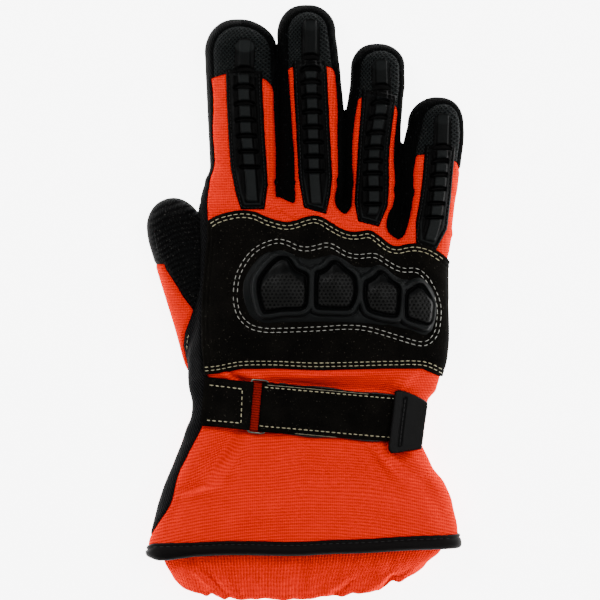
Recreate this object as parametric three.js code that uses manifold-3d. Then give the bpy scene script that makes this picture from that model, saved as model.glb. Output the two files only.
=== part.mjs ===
// A right-hand extrication glove, lying palm down with its fingers along +Y and the back of the hand up.
// Millimetres. The origin is on the flat of the palm that rests on the table, below the knuckles.
// The glove is a hollow shell of sewn panels, so one outer and one inner body are lofted first,
// and the panels are cut from the wall between them along their seams.
import * as THREE from "three";
import { mergeVertices } from "three/addons/utils/BufferGeometryUtils.js";
import Module from "manifold-3d";

const wasm = await Module();
wasm.setup();

// Driving dimensions
const WALL = 1.8; // shell cloth with its padding
const GAP = 0.3; // clearance at each seam and under each overlay
const TABLE = 0;
const SEAM_HEIGHT = 6; // the palm is sewn to the sides at this height
const REACH = 120; // longer than any cut needs to be
const HAND_SIDES = 22;
const FINGER_SIDES = 12;
const HAND_POWER = 2.6; // superellipse power of the hand's sections
const FINGER_POWER = 2.35;

// Finger sections from root to tip. left and right are the outline at y; rims are the widths of the black
// side walls that show from above, and seams are where the fingertip cap meets the orange cloth.
const FINGERS = [
  {
    name: "index", tip: 135.2, top: 22.5, tipTop: 18,
    rimLeft: 2.4, rimRight: 0.8, capLeft: 3.6, capRight: 1.8, seamLeft: 107.5, seamRight: 104,
    sections: [
      { y: 22, left: -47, right: -14 }, { y: 42, left: -48.8, right: -13.5 }, { y: 64, left: -46, right: -14.9 },
      { y: 91, left: -46.5, right: -14.9 }, { y: 119, left: -47.5, right: -15 },
    ],
  },
  {
    name: "middle", tip: 142.4, top: 23, tipTop: 18,
    rimLeft: 7.4, rimRight: 3.2, capLeft: 5, capRight: 3.6, seamLeft: 110, seamRight: 110.5,
    sections: [
      { y: 20, left: -12, right: 19 }, { y: 42, left: -13.4, right: 18.9 }, { y: 60, left: -13.9, right: 18.4 },
      { y: 96, left: -14, right: 17.4 }, { y: 128.5, left: -13.8, right: 14 },
    ],
  },
  {
    name: "ring", tip: 124.1, top: 22, tipTop: 17.5,
    rimLeft: 4, rimRight: 2.6, capLeft: 4.2, capRight: 1.6, seamLeft: 95.5, seamRight: 93,
    sections: [
      { y: 16, left: 20, right: 46 }, { y: 40, left: 19.7, right: 46 }, { y: 68, left: 19.3, right: 45.1 },
      { y: 98, left: 21, right: 46.6 }, { y: 112, left: 22.2, right: 46.6 },
    ],
  },
  {
    name: "little", tip: 97.8, top: 20.5, tipTop: 16.5,
    rimLeft: 6.6, rimRight: 1.2, capLeft: 7, capRight: 1, seamLeft: 70.5, seamRight: 66,
    sections: [
      { y: 4, left: 46, right: 69 }, { y: 28, left: 46, right: 70.6 }, { y: 54, left: 46.3, right: 73.4 },
      { y: 72, left: 46.6, right: 75.3 }, { y: 84.4, left: 48.7, right: 75.4 },
    ],
  },
];

// Hand and cuff sections from the mouth of the cuff to the roots of the fingers. y is where the section
// crosses x = 0, and slope is how far it climbs for each millimetre to the right.
const HAND = [
  { y: -126, left: -75.5, right: 74.4, top: 31, slope: 0.043 },
  { y: -114, left: -75, right: 73.4, top: 31, slope: 0.043 },
  { y: -97, left: -71, right: 70.6, top: 29.5, slope: 0.02 },
  { y: -88, left: -67.6, right: 66.4, top: 28, slope: 0 },
  { y: -79, left: -63.8, right: 59.6, top: 26, slope: 0 },
  { y: -63, left: -56.8, right: 55.4, top: 22.5, slope: -0.03 },
  { y: -52, left: -54.5, right: 56.6, top: 22.2, slope: -0.06 },
  { y: -43, left: -55, right: 60.4, top: 22.6, slope: -0.05 },
  { y: -35, left: -56.2, right: 65.6, top: 25, slope: 0 },
  { y: -26, left: -56, right: 68.2, top: 27.2, slope: 0 },
  { y: -14, left: -53.4, right: 69.2, top: 28.4, slope: -0.04 },
  { y: 20, left: -50.6, right: 69.6, top: 28.2, slope: -0.18 },
  { y: 34, left: -50, right: 70, top: 26, slope: -0.22 },
  { y: 45, left: -48, right: 68.6, top: 22.5, slope: -0.24 },
];
const HAND_END = { length: 4.5, steps: [40, 80] }; // the rounded end between the finger roots

// Dents and puffs that the strap pulls into the cloth, each a long soft ridge. depth is positive outwards.
const FOLDS = [
  { x: -45, y: -77, turn: 52, length: 17, width: 5, depth: -2.2 },
  { x: -58, y: -88, turn: 60, length: 16, width: 6, depth: 1.4 },
  { x: 28, y: -84, turn: -8, length: 26, width: 9, depth: -2 },
  { x: 58, y: -82, turn: -40, length: 14, width: 6, depth: 1.2 },
  { x: -4, y: -37, turn: 2, length: 30, width: 3.5, depth: 1.6 },
  { x: 44, y: -39, turn: -12, length: 16, width: 4, depth: 1.6 },
];

const THUMB = {
  tip: { x: -60, y: 33.5 }, root: { x: -38.5, y: -25.5 }, tipRadius: 15,
  sections: [
    { along: 0, half: 15, top: 15 }, { along: 20, half: 16.2, top: 17.5 }, { along: 42, half: 15.6, top: 18 },
    { along: 62.8, half: 15, top: 16.5 },
  ],
  mouth: [{ x: -50.4, y: -16 }, { x: -38, y: -20 }, { x: -37, y: 20 }, { x: -42, y: 25 }, { x: -50.4, y: 22 }], mouthTop: 11,
};

const HEM = { y: -113.8, slope: 0.043, width: 7.4, proud: 1 };
const INNER_CUFF = {
  wall: 1.5, ripples: 9, ripple: 1.1,
  sections: [
    { y: -129.5, left: -64, right: 58.5, low: 0, top: 17, slope: 0.03, bow: 12.5, gather: 1 },
    { y: -127, left: -66.2, right: 61, low: 0.8, top: 20, slope: 0.03, bow: 8, gather: 0.7 },
    { y: -122, left: -69, right: 66, low: 2.6, top: 24, slope: 0.04, bow: 3, gather: 0.25 },
    { y: -112, left: -71, right: 69.2, low: 2.6, top: 27.4, slope: 0.04, bow: 0, gather: 0 },
    { y: -99, left: -68.4, right: 67.6, low: 2.6, top: 26.6, slope: 0.02, bow: 0, gather: 0 },
  ],
};

const STRIP_EDGE = [ // where the black strip on the thumb side meets the orange cloth
  { x: -46.5, y: 44 }, { x: -47.6, y: 30 }, { x: -47.6, y: -36 }, { x: -49.5, y: -60 }, { x: -55.5, y: -71 }, { x: -60.4, y: -81 },
  { x: -63, y: -92 }, { x: -66.2, y: -100 }, { x: -72.6, y: -109.5 }, { x: -76, y: -118 }, { x: -80, y: -130 },
];
const WRIST_SEAM = -53; // under the strap, where the cuff is sewn to the hand
const CROTCHES = [{ x: -11, y: 48.5 }, { x: 20, y: 41 }, { x: 47.5, y: 30.5 }];

const KNUCKLE_PANEL = {
  thickness: 1.3,
  upper: [
    { x: -47.3, y: 38.5 }, { x: -39, y: 42 }, { x: -31, y: 43.5 }, { x: -17.5, y: 40 }, { x: -7.5, y: 38 },
    { x: 2, y: 40.5 }, { x: 8.5, y: 40 }, { x: 20, y: 33.5 }, { x: 30, y: 34 }, { x: 40, y: 27 },
    { x: 54, y: 27.5 }, { x: 65.5, y: 23 }, { x: 71, y: 18.5 },
  ],
  lower: [
    { x: 71, y: -40 }, { x: 65.5, y: -36.5 }, { x: 56, y: -32.2 }, { x: 6, y: -32.8 }, { x: -30, y: -32.4 },
    { x: -47.3, y: -34.6 },
  ],
};

const KNUCKLE_GUARD = {
  flange: 1.6, ridge: 6.4, dome: 5.6, groove: 1, border: 3.2,
  outline: [
    { x: -30, y: 5.5 }, { x: -27.5, y: 15 }, { x: -20, y: 23 }, { x: -13, y: 25 }, { x: -6, y: 22.5 },
    { x: 1.5, y: 17.3 }, { x: 7, y: 20 }, { x: 13, y: 22.7 }, { x: 18.5, y: 20 }, { x: 25, y: 14.6 },
    { x: 30, y: 16 }, { x: 36, y: 18.2 }, { x: 41, y: 14 }, { x: 47, y: 9 }, { x: 51, y: 11 },
    { x: 56, y: 11.4 }, { x: 61.4, y: 5 }, { x: 63.4, y: -4 }, { x: 61.5, y: -13.5 }, { x: 57, y: -16.7 },
    { x: 43.5, y: -11.6 }, { x: 25, y: -9.2 }, { x: 1.5, y: -9 }, { x: -19.5, y: -9.6 }, { x: -27, y: -6 },
  ],
  pockets: [
    { left: -21.5, right: 0.6, shoulderLeft: 11, shoulderRight: 13, peakLeft: -13, peakRight: -7.6, peak: 20.6, floorLeft: -4.5, floorRight: -3.2 },
    { left: 5, right: 24, shoulderLeft: 13, shoulderRight: 10.5, peakLeft: 13, peakRight: 16.4, peak: 19, floorLeft: -2.8, floorRight: -3 },
    { left: 28.3, right: 44.5, shoulderLeft: 9, shoulderRight: 6.8, peakLeft: 35.8, peakRight: 38.6, peak: 14.4, floorLeft: -3.4, floorRight: -6.6 },
    { left: 48, right: 60.8, shoulderLeft: 5, shoulderRight: 0, peakLeft: 52.5, peakRight: 56, peak: 8.2, floorLeft: -7.6, floorRight: -10.6 },
  ],
};

// Finger guards: a sewn flange with a smooth nose over the fingertip, a row of blocks and a long last block.
const GUARD = { seat: 0.45, flange: 1.2, block: 4, nose: 3, half: 7.9, baseHalf: 5.2, taper: 12, noseHalf: 4.6, blockHalf: 5, blockTopHalf: 3 };
const FINGER_GUARDS = [
  { finger: "index", topX: -29.2, topY: 112, baseX: -25.2, baseY: 45, nose: 126, firstBlock: 107, pitch: 7.75, blocks: 6, lastLength: 12.5 },
  { finger: "middle", topX: 1.4, topY: 114, baseX: 5, baseY: 43, nose: 135.5, firstBlock: 109.4, pitch: 7.2, blocks: 7, lastLength: 13 },
  { finger: "ring", topX: 35.2, topY: 99.5, baseX: 31, baseY: 37, nose: 115.5, firstBlock: 92.5, pitch: 7.1, blocks: 6, lastLength: 9 },
  { finger: "little", topX: 64.8, topY: 73.5, baseX: 58.4, baseY: 27.5, nose: 89, firstBlock: 64.8, pitch: 7, blocks: 4, lastLength: 9.5 },
];

// The strap runs from the anchor on the thumb side to the pull tab. along is measured from the strap's
// start, and lift is the height above the back of the glove.
const STRAP = {
  start: { x: -48, y: -50.4 }, end: { x: 56, y: -60 }, half: 11.6,
  thickness: 1.3, foldedTop: 3.3, foldRadius: 2.4, tunnelRadius: 1.15, barLift: 2.75,
  anchorBar: 18.8, strapBar: 29.4, upperEnd: 97,
};
const RING = { wire: 0.8, half: 13.3, corner: 1.4, sides: 6 };
const WEBBING = { half: 11.2, from: 21.6, to: 26.6, lift: 2.1, thickness: 1.3 };
const PULL_TAB = {
  thickness: 3.2, droop: 0.12, clearance: 0.35,
  outline: [
    { x: 45.6, y: -42.4 }, { x: 49.6, y: -41.6 }, { x: 58.4, y: -46.8 }, { x: 59.5, y: -48.6 }, { x: 57.2, y: -70 },
    { x: 55.8, y: -71.2 }, { x: 42.4, y: -73.4 }, { x: 41.2, y: -72 },
  ],
};

// Solids from three.js geometry
function solidOf(geometry) {
  const bare = new THREE.BufferGeometry();
  bare.setAttribute("position", geometry.getAttribute("position"));
  bare.setIndex(geometry.getIndex());
  const merged = mergeVertices(bare, 1e-4);
  return new wasm.Manifold(new wasm.Mesh({
    numProp: 3,
    vertProperties: new Float32Array(merged.attributes.position.array),
    triVerts: new Uint32Array(merged.index.array),
  }));
}

function geometryOf(solid) {
  const mesh = solid.getMesh();
  const geometry = new THREE.BufferGeometry();
  geometry.setAttribute("position", new THREE.BufferAttribute(new Float32Array(mesh.vertProperties), 3));
  geometry.setIndex(new THREE.BufferAttribute(new Uint32Array(mesh.triVerts), 1));
  geometry.computeVertexNormals();
  return geometry;
}

// A closed body through rings of equal length. closed joins the last ring to the first instead of capping.
function loft(rings, closed = false) {
  const count = rings[0].length;
  const points = rings.flat();
  const faces = [];
  const last = closed ? rings.length : rings.length - 1;
  for (let i = 0; i < last; i++) {
    const a = i * count;
    const b = ((i + 1) % rings.length) * count;
    for (let j = 0; j < count; j++) {
      const k = (j + 1) % count;
      faces.push(a + j, b + j, a + k, a + k, b + j, b + k);
    }
  }
  if (!closed) {
    for (const [ring, turned] of [[0, false], [rings.length - 1, true]]) {
      const start = ring * count;
      for (let i = 0, j = count - 1; i < j - 1; i++, j--) {
        const quad = [start + i, start + i + 1, start + j - 1, start + j];
        if (turned) quad.reverse();
        faces.push(quad[0], quad[1], quad[2], quad[0], quad[2], quad[3]);
      }
    }
  }
  const geometry = new THREE.BufferGeometry().setFromPoints(points);
  geometry.setIndex(faces);
  return solidOf(geometry);
}

const shapeOf = (points) => new THREE.Shape(points.map((p) => new THREE.Vector2(p.x, p.y)));

// An upright prism over a plan outline
function prism(points, low = -REACH, high = REACH) {
  const geometry = new THREE.ExtrudeGeometry(shapeOf(points), { depth: high - low, bevelEnabled: false });
  return solidOf(geometry.translate(0, 0, low));
}

function slab(low, high) {
  const geometry = new THREE.BoxGeometry(4 * REACH, 4 * REACH, high - low);
  return solidOf(geometry.translate(0, 0, (low + high) / 2));
}

const union = (solids) => solids.reduce((sum, next) => sum.add(next));
const largest = (solid) => solid.decompose().sort((a, b) => b.volume() - a.volume())[0];
const mix = (a, b, t) => a + (b - a) * t;

// Even steps between two values, each about one size long
function steps(from, to, size) {
  const count = Math.max(1, Math.round(Math.abs(to - from) / size));
  return Array.from({ length: count + 1 }, (_, i) => mix(from, to, i / count));
}

// Interpolates every number in a table of rows, sorted by key
function rowAt(rows, key, value) {
  let i = 0;
  while (i < rows.length - 2 && value > rows[i + 1][key]) i++;
  const [a, b] = [rows[i], rows[i + 1]];
  const t = THREE.MathUtils.clamp((value - a[key]) / (b[key] - a[key]), 0, 1);
  return Object.fromEntries(Object.keys(a).map((name) => [name, mix(a[name], b[name], t)]));
}

function smoothOutline(points, count) {
  const curve = new THREE.CatmullRomCurve3(points.map((p) => new THREE.Vector3(p.x, p.y, 0)), true);
  return curve.getSpacedPoints(count).slice(0, count);
}

// Moves a closed outline outwards by distance, or inwards where it is negative
function offsetOutline(points, distance) {
  const turn = Math.sign(THREE.ShapeUtils.area(points));
  return points.map((p, i) => {
    const before = points[(i + points.length - 1) % points.length];
    const after = points[(i + 1) % points.length];
    const along = new THREE.Vector2(after.x - before.x, after.y - before.y).normalize();
    return { x: p.x + along.y * distance * turn, y: p.y - along.x * distance * turn };
  });
}

function foldHeight(x, y) {
  return FOLDS.reduce((height, fold) => {
    const turn = THREE.MathUtils.degToRad(fold.turn);
    const along = (x - fold.x) * Math.cos(turn) + (y - fold.y) * Math.sin(turn);
    const across = (y - fold.y) * Math.cos(turn) - (x - fold.x) * Math.sin(turn);
    return height + fold.depth * Math.exp(-((along / fold.length) ** 2) - (across / fold.width) ** 2);
  }, 0);
}

const superPower = (value, power) => Math.sign(value) * Math.abs(value) ** (2 / power);

// One section of a body: a superellipse between left and right, low and top
function section({ y, left, right, low, top, slope = 0, bow = 0 }, sides, power, { folded = false, ripple } = {}) {
  const middle = (left + right) / 2;
  return Array.from({ length: sides }, (_, i) => {
    const angle = (2 * Math.PI * i) / sides;
    const across = superPower(Math.cos(angle), power);
    const up = superPower(Math.sin(angle), power);
    const swell = ripple ? 1 + ripple(angle) : 1;
    const x = middle + ((right - left) / 2) * across;
    const yHere = y + slope * x - bow * (1 - across * across);
    const fold = folded && up > 0 ? up * foldHeight(x, yHere) : 0;
    return new THREE.Vector3(x, yHere, (low + top) / 2 + ((top - low) / 2) * up * swell + fold);
  });
}

// The bodies, each grown by a distance over its outer surface
const LOW = -1; // sections dip below the table and are cut flat there
const DOME_STEPS = [30, 58, 84];

function fingerRows(finger, grow) {
  const root = finger.sections[0].y;
  const rows = finger.sections.map((row) => {
    const share = THREE.MathUtils.clamp((row.y - root) / 20, 0, 1);
    const nearTip = row === finger.sections.at(-1);
    const top = mix(finger.top - 3, nearTip ? finger.tipTop + 2 : finger.top, share);
    return { y: row.y, left: row.left - grow, right: row.right + grow, low: LOW - grow, top: top + grow };
  });
  const base = rows.at(-1);
  const reach = finger.tip + grow - base.y;
  for (const degrees of DOME_STEPS) {
    const angle = THREE.MathUtils.degToRad(degrees);
    const narrow = ((base.right - base.left) / 2) * (1 - Math.cos(angle));
    const drop = (base.top - base.low) * 0.5 * (1 - Math.cos(angle) ** 0.6);
    rows.push({
      y: base.y + reach * Math.sin(angle), left: base.left + narrow, right: base.right - narrow,
      low: base.low + drop * 0.7, top: base.top - drop * 1.1,
    });
  }
  return rows;
}

const fingerBody = (finger, grow) => loft(fingerRows(finger, grow).map((row) => section(row, FINGER_SIDES, FINGER_POWER)));

function handRows(grow) {
  const rows = HAND.map((row) => ({
    ...row, left: row.left - grow, right: row.right + grow, low: LOW - grow, top: row.top + grow,
  }));
  const base = rows.at(-1);
  for (const degrees of HAND_END.steps) {
    const angle = THREE.MathUtils.degToRad(degrees);
    const inwards = ((base.top - base.low) / 2) * (1 - Math.cos(angle));
    rows.push({
      ...base, y: base.y + (HAND_END.length + grow) * Math.sin(angle),
      left: base.left + inwards / 2, right: base.right - inwards / 2, low: base.low + inwards, top: base.top - inwards,
    });
  }
  return rows;
}

const handBody = (grow) => loft(handRows(grow).map((row) => section(row, HAND_SIDES, HAND_POWER, { folded: true })));

function thumbBody(grow) {
  const { tip, root, sections, tipRadius } = THUMB;
  const turn = Math.atan2(tip.x - root.x, tip.y - root.y);
  const rows = sections.map(({ along, half, top }) => ({
    y: along, left: -half - grow, right: half + grow, low: LOW - grow, top: top + grow,
  }));
  const base = rows.at(-1);
  for (const degrees of DOME_STEPS) {
    const angle = THREE.MathUtils.degToRad(degrees);
    const drop = (base.top - base.low) * 0.5 * (1 - Math.cos(angle) ** 0.6);
    rows.push({
      y: base.y + (tipRadius + grow) * Math.sin(angle), left: base.left * Math.cos(angle),
      right: base.right * Math.cos(angle), low: base.low + drop * 0.7, top: base.top - drop,
    });
  }
  const rings = rows.map((row) => section(row, FINGER_SIDES, FINGER_POWER));
  const axis = new THREE.Vector3(0, 0, 1);
  const place = (p) => p.applyAxisAngle(axis, -turn).add(new THREE.Vector3(root.x, root.y, 0));
  return loft(rings.map((ring) => ring.map(place)));
}

function gloveBody(grow, floor = TABLE) {
  const bodies = [handBody(grow), thumbBody(grow), ...FINGERS.map((finger) => fingerBody(finger, grow))];
  return union(bodies).intersect(slab(floor, REACH));
}

// The layer between two distances over the outer surface
const bodies = new Map();
function body(grow) {
  if (!bodies.has(grow)) bodies.set(grow, gloveBody(grow, grow < 0 ? TABLE - grow : TABLE));
  return bodies.get(grow);
}
const layer = (from, to) => body(to).subtract(body(from));

// Height of one lofted body over the plan
function heightOn(row, power, x) {
  const middle = (row.left + row.right) / 2;
  const across = Math.abs(x - middle) / ((row.right - row.left) / 2);
  const up = Math.max(0, 1 - across ** power) ** (1 / power);
  return { up, height: (row.top + row.low) / 2 + ((row.top - row.low) / 2) * up };
}

function backHeight(x, y) {
  const slope = rowAt(HAND, "y", y).slope;
  const { up, height } = heightOn(rowAt(handRows(0), "y", y - slope * x), HAND_POWER, x);
  return height + up * foldHeight(x, y);
}

// Height of the glove's upper surface where a finger joins the back of the hand
function fingerHeight(finger, x, y) {
  const onFinger = heightOn(rowAt(fingerRows(finger, 0), "y", y), FINGER_POWER, x).height;
  return y < 56 ? Math.max(onFinger, backHeight(x, y)) : onFinger;
}

// Plan outlines of the panels, each grown by margin
const hemAt = (x) => HEM.y + HEM.slope * x;

function fingerSpan(finger, y) {
  return rowAt(finger.sections, "y", y);
}

function clothOutline(finger, margin) {
  const crotch = CROTCHES.at(Math.max(0, FINGERS.indexOf(finger) - 1)).y - 8;
  const stations = [crotch, ...finger.sections.map((row) => row.y).filter((y) => y > crotch && y < finger.seamRight)];
  const left = [...stations, finger.seamLeft + margin].map((y) => ({
    x: fingerSpan(finger, y).left + finger.rimLeft - margin, y,
  }));
  const right = [...stations, finger.seamRight + margin].map((y) => ({
    x: fingerSpan(finger, y).right - finger.rimRight + margin, y,
  }));
  return [...left, ...right.reverse()];
}

function handClothOutline(margin) {
  const edge = STRIP_EDGE.filter((p) => p.y < 50 && p.y > WRIST_SEAM).map((p) => ({ x: p.x - margin, y: p.y }));
  const [first, second, third] = CROTCHES;
  return [
    ...edge, { x: -48.5 - margin, y: WRIST_SEAM - margin }, { x: REACH, y: WRIST_SEAM - margin },
    { x: REACH, y: 26 + margin }, { x: third.x + 8, y: third.y + margin }, { x: third.x - 5, y: third.y + margin },
    { x: third.x - 9, y: third.y + 5 + margin }, { x: second.x + 4, y: second.y + margin },
    { x: second.x - 5, y: second.y + 1 + margin }, { x: first.x + 8, y: first.y - 1.5 + margin },
    { x: first.x - 4, y: first.y + 2 + margin },
  ];
}

function cuffOutline(margin) {
  const edge = STRIP_EDGE.filter((p) => p.y < WRIST_SEAM).map((p) => ({ x: p.x - margin, y: p.y }));
  const start = { x: -48.5 - margin, y: WRIST_SEAM - GAP + margin };
  return [start, ...edge, { x: REACH, y: -130 }, { x: REACH, y: start.y }];
}

function capOutline(finger, margin) {
  const tip = finger.sections.at(-1);
  const left = tip.left + finger.capLeft - margin;
  const right = tip.right - finger.capRight + margin;
  const reach = finger.tip - tip.y - 3.6 + margin;
  const arc = Array.from({ length: 11 }, (_, i) => {
    const angle = (Math.PI * i) / 10;
    return { x: (left + right) / 2 + ((right - left) / 2) * Math.cos(angle), y: tip.y + reach * Math.sin(angle) };
  });
  const low = finger.seamLeft + GAP - margin;
  const lowRight = finger.seamRight + GAP - margin;
  const foot = fingerSpan(finger, low);
  return [
    ...arc, { x: foot.left + finger.capLeft - margin, y: low }, { x: foot.right - finger.capRight + margin, y: lowRight },
  ];
}

const thumbOutline = (margin) => [
  { x: -50.8 + margin, y: 62 }, { x: -50.8 + margin, y: 3 }, { x: -56.3 + margin, y: -23 - margin },
  { x: -100, y: -23 - margin }, { x: -100, y: 62 },
];
const thumbClothOutline = (margin) => [
  { x: -80, y: 18 + margin }, { x: -68.6 + margin, y: 18 + margin }, { x: -54.4 + margin, y: -4.5 },
  { x: -57.6 + margin, y: -24 - margin }, { x: -80, y: -24 - margin },
];

// Shell panels, cut from the wall between the outer and the inner body
const wholeCuff = prism([
  { x: -REACH, y: hemAt(-REACH) + GAP }, { x: REACH, y: hemAt(REACH) + GAP }, { x: REACH, y: 2 * REACH }, { x: -REACH, y: 2 * REACH },
]);
const thumbMouth = prism(THUMB.mouth, TABLE + WALL, THUMB.mouthTop);
const hollow = body(-WALL).add(thumbMouth);
const shell = body(0).subtract(hollow).intersect(wholeCuff);
const thumbShell = shell.intersect(prism(thumbOutline(0)));
const handShell = shell.subtract(prism(thumbOutline(GAP)));
const above = handShell.intersect(slab(SEAM_HEIGHT + GAP / 2, REACH));
const below = handShell.intersect(slab(-1, SEAM_HEIGHT - GAP / 2));

const handSide = prism([
  { x: -REACH, y: WRIST_SEAM }, { x: REACH, y: WRIST_SEAM }, { x: REACH, y: 2 * REACH }, { x: -REACH, y: 2 * REACH },
]);
const cuffSide = prism([
  { x: -REACH, y: WRIST_SEAM - GAP }, { x: REACH, y: WRIST_SEAM - GAP }, { x: REACH, y: -2 * REACH }, { x: -REACH, y: -2 * REACH },
]);

const backCloth = (margin) => union([
  prism(handClothOutline(margin)), ...FINGERS.map((finger) => prism(clothOutline(finger, margin))),
]);
const caps = FINGERS.map((finger) => prism(capOutline(finger, 0)));
const capCuts = FINGERS.map((finger) => prism(capOutline(finger, GAP)));

const panels = new Map();
panels.set("palm_panel", largest(below.intersect(handSide)));
panels.set("cuff_palm", largest(below.intersect(cuffSide)));
panels.set("back_cloth", largest(above.intersect(backCloth(0))));
panels.set("cuff_back", largest(above.intersect(prism(cuffOutline(0)))));
FINGERS.forEach((finger, i) => {
  panels.set("fingertip_cap_" + finger.name, largest(above.intersect(caps[i]).subtract(backCloth(GAP))));
});

// What is left of the wall above the palm is the side strips and the fourchettes, parted at each fingertip
const tipSlots = FINGERS.map((finger) => {
  const { left, right } = finger.sections.at(-1);
  const x = (left + right) / 2;
  return prism([
    { x: x - GAP / 2, y: finger.tip - 12 }, { x: x + GAP / 2, y: finger.tip - 12 },
    { x: x + GAP / 2, y: finger.tip + 5 }, { x: x - GAP / 2, y: finger.tip + 5 },
  ]);
});
const sides = above.subtract(union([backCloth(GAP), prism(cuffOutline(GAP)), ...capCuts, ...tipSlots]));
const sideNames = ["thumb_side_strip", "fourchette_index_middle", "fourchette_middle_ring", "fourchette_ring_little", "little_side_strip"];
const sideParts = sides.decompose().filter((part) => part.volume() > 60);
const middleOf = (part) => (part.boundingBox().min[0] + part.boundingBox().max[0]) / 2;
sideParts.sort((a, b) => middleOf(a) - middleOf(b)).forEach((part, i) => panels.set(sideNames[i], part));

const thumbCloth = thumbShell.intersect(prism(thumbClothOutline(0), SEAM_HEIGHT, REACH));
panels.set("thumb_cloth", largest(thumbCloth));
panels.set("thumb_grip", largest(thumbShell.subtract(prism(thumbClothOutline(GAP), SEAM_HEIGHT - GAP, REACH))));

// The suede panel over the back of the hand
const onBack = slab(SEAM_HEIGHT + GAP / 2, REACH);
const panelOutline = [...KNUCKLE_PANEL.upper, ...KNUCKLE_PANEL.lower];
const knucklePanel = layer(GAP, GAP + KNUCKLE_PANEL.thickness).intersect(prism(panelOutline)).intersect(onBack);

// The moulded knuckle guard: a sewn flange, a raised frame, and a dome in each of its four pockets
function pocketOutline(pocket, inset) {
  const { left, right, shoulderLeft, shoulderRight, peakLeft, peakRight, peak, floorLeft, floorRight } = pocket;
  const corners = [
    { x: left, y: shoulderLeft }, { x: peakLeft, y: peak }, { x: peakRight, y: peak },
    { x: right, y: shoulderRight }, { x: right, y: floorRight }, { x: left, y: floorLeft },
  ];
  return offsetOutline(corners, -inset);
}

function knuckleGuard() {
  const { flange, ridge, dome, groove, border, outline, pockets } = KNUCKLE_GUARD;
  const base = GAP + KNUCKLE_PANEL.thickness + GAP;
  const plate = layer(base, base + flange).intersect(prism(smoothOutline(outline, 36)));
  const frame = layer(base, base + ridge).intersect(prism(offsetOutline(smoothOutline(outline, 30), -border)));
  const sunk = union(pockets.map((pocket) => prism(pocketOutline(pocket, 0))));
  const floorCut = layer(base + flange, base + ridge + 2).intersect(sunk);
  const domes = pockets.map((pocket) => {
    const ring = (inset, lift) => pocketOutline(pocket, inset).map((p) => (
      new THREE.Vector3(p.x, p.y, backHeight(p.x, p.y) + base + lift)
    ));
    return loft([ring(groove, flange / 2), ring(groove, dome * 0.7), ring(groove * 3.2, dome)]);
  });
  return largest(union([plate, frame]).subtract(floorCut).add(union(domes)));
}

// A finger guard, drawn in its own axes: along from its top end to its base, across to the right
function fingerGuard(spec) {
  const { finger: name, topX, topY, baseX, baseY, nose, firstBlock, pitch, blocks, lastLength } = spec;
  const finger = FINGERS.find((one) => one.name === name);
  const length = Math.hypot(topX - baseX, topY - baseY);
  const down = { x: (baseX - topX) / length, y: (baseY - topY) / length };
  const point = (along, across, lift) => {
    const x = topX + down.x * along - down.y * across;
    const y = topY + down.y * along + down.x * across;
    return new THREE.Vector3(x, y, fingerHeight(finger, x, y) + lift);
  };
  // A draped body through stations of half width and lift
  const draped = (stations, shares, low) => loft(stations.map(({ along, half, lift }) => [
    ...shares.map((share) => point(along, share * half, low)).reverse(), ...shares.map((share) => point(along, share * half, lift)),
  ]));
  const across = [-1, -0.5, 0, 0.5, 1];
  const flangeTop = GUARD.seat + GUARD.flange;
  const flange = steps(0, length, length / 6).map((along) => ({
    along, half: mix(GUARD.half, GUARD.baseHalf, Math.max(0, 1 - (length - along) / GUARD.taper)), lift: flangeTop,
  }));
  const tip = topY - nose;
  const noseStations = [0.06, 0.3, 0.7, 1].map((share) => ({
    along: tip + GUARD.noseHalf * (1 - Math.cos((share * Math.PI) / 2)), half: GUARD.noseHalf * Math.sin((share * Math.PI) / 2),
    lift: mix(flangeTop, GUARD.seat + GUARD.nose, share),
  }));
  noseStations.push({ along: 3, half: GUARD.noseHalf, lift: GUARD.seat + GUARD.nose });
  const bars = Array.from({ length: blocks }, (_, i) => {
    const middle = topY - firstBlock + i * pitch;
    return { from: middle - pitch * 0.36, to: middle + pitch * 0.36 };
  });
  bars.push({ from: length - lastLength - 2.5, to: length - 1.6 });
  const sunk = GUARD.seat + GUARD.flange / 2;
  const ring = (from, to, half, lift) => [
    point(from, -half, lift), point(from, half, lift), point(to, half, lift), point(to, -half, lift),
  ];
  const blockSolids = bars.map(({ from, to }) => loft([
    ring(from, to, GUARD.blockHalf, sunk), ring(from + 1.2, to - 1.2, GUARD.blockTopHalf, GUARD.seat + GUARD.block),
  ]));
  return union([draped(flange, across, GUARD.seat), draped(noseStations, [-1, 0, 1], sunk), ...blockSolids]);
}

// Cuff binding and the inner cuff
function cuffBinding() {
  const band = prism([
    { x: -REACH, y: hemAt(-REACH) }, { x: -REACH, y: hemAt(-REACH) - HEM.width },
    { x: REACH, y: hemAt(REACH) - HEM.width }, { x: REACH, y: hemAt(REACH) },
  ]);
  return layer(-WALL - 0.4, HEM.proud).intersect(band);
}

function innerCuff() {
  const { wall, ripples, ripple, sections } = INNER_CUFF;
  const wave = (gather) => (angle) => (gather * ripple * Math.sin(ripples * angle)) / 12;
  const skin = (inset, extra) => {
    const rows = sections.map((row) => ({
      ...row, left: row.left + inset, right: row.right - inset, low: row.low + inset, top: row.top - inset,
    }));
    if (extra) {
      rows[0] = { ...rows[0], y: rows[0].y - extra };
      rows[rows.length - 1] = { ...rows.at(-1), y: rows.at(-1).y + extra };
    }
    return loft(rows.map((row) => section(row, HAND_SIDES, HAND_POWER, { ripple: wave(row.gather) })));
  };
  return skin(0, 0).subtract(skin(wall, 1)).intersect(slab(TABLE, REACH));
}

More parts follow.
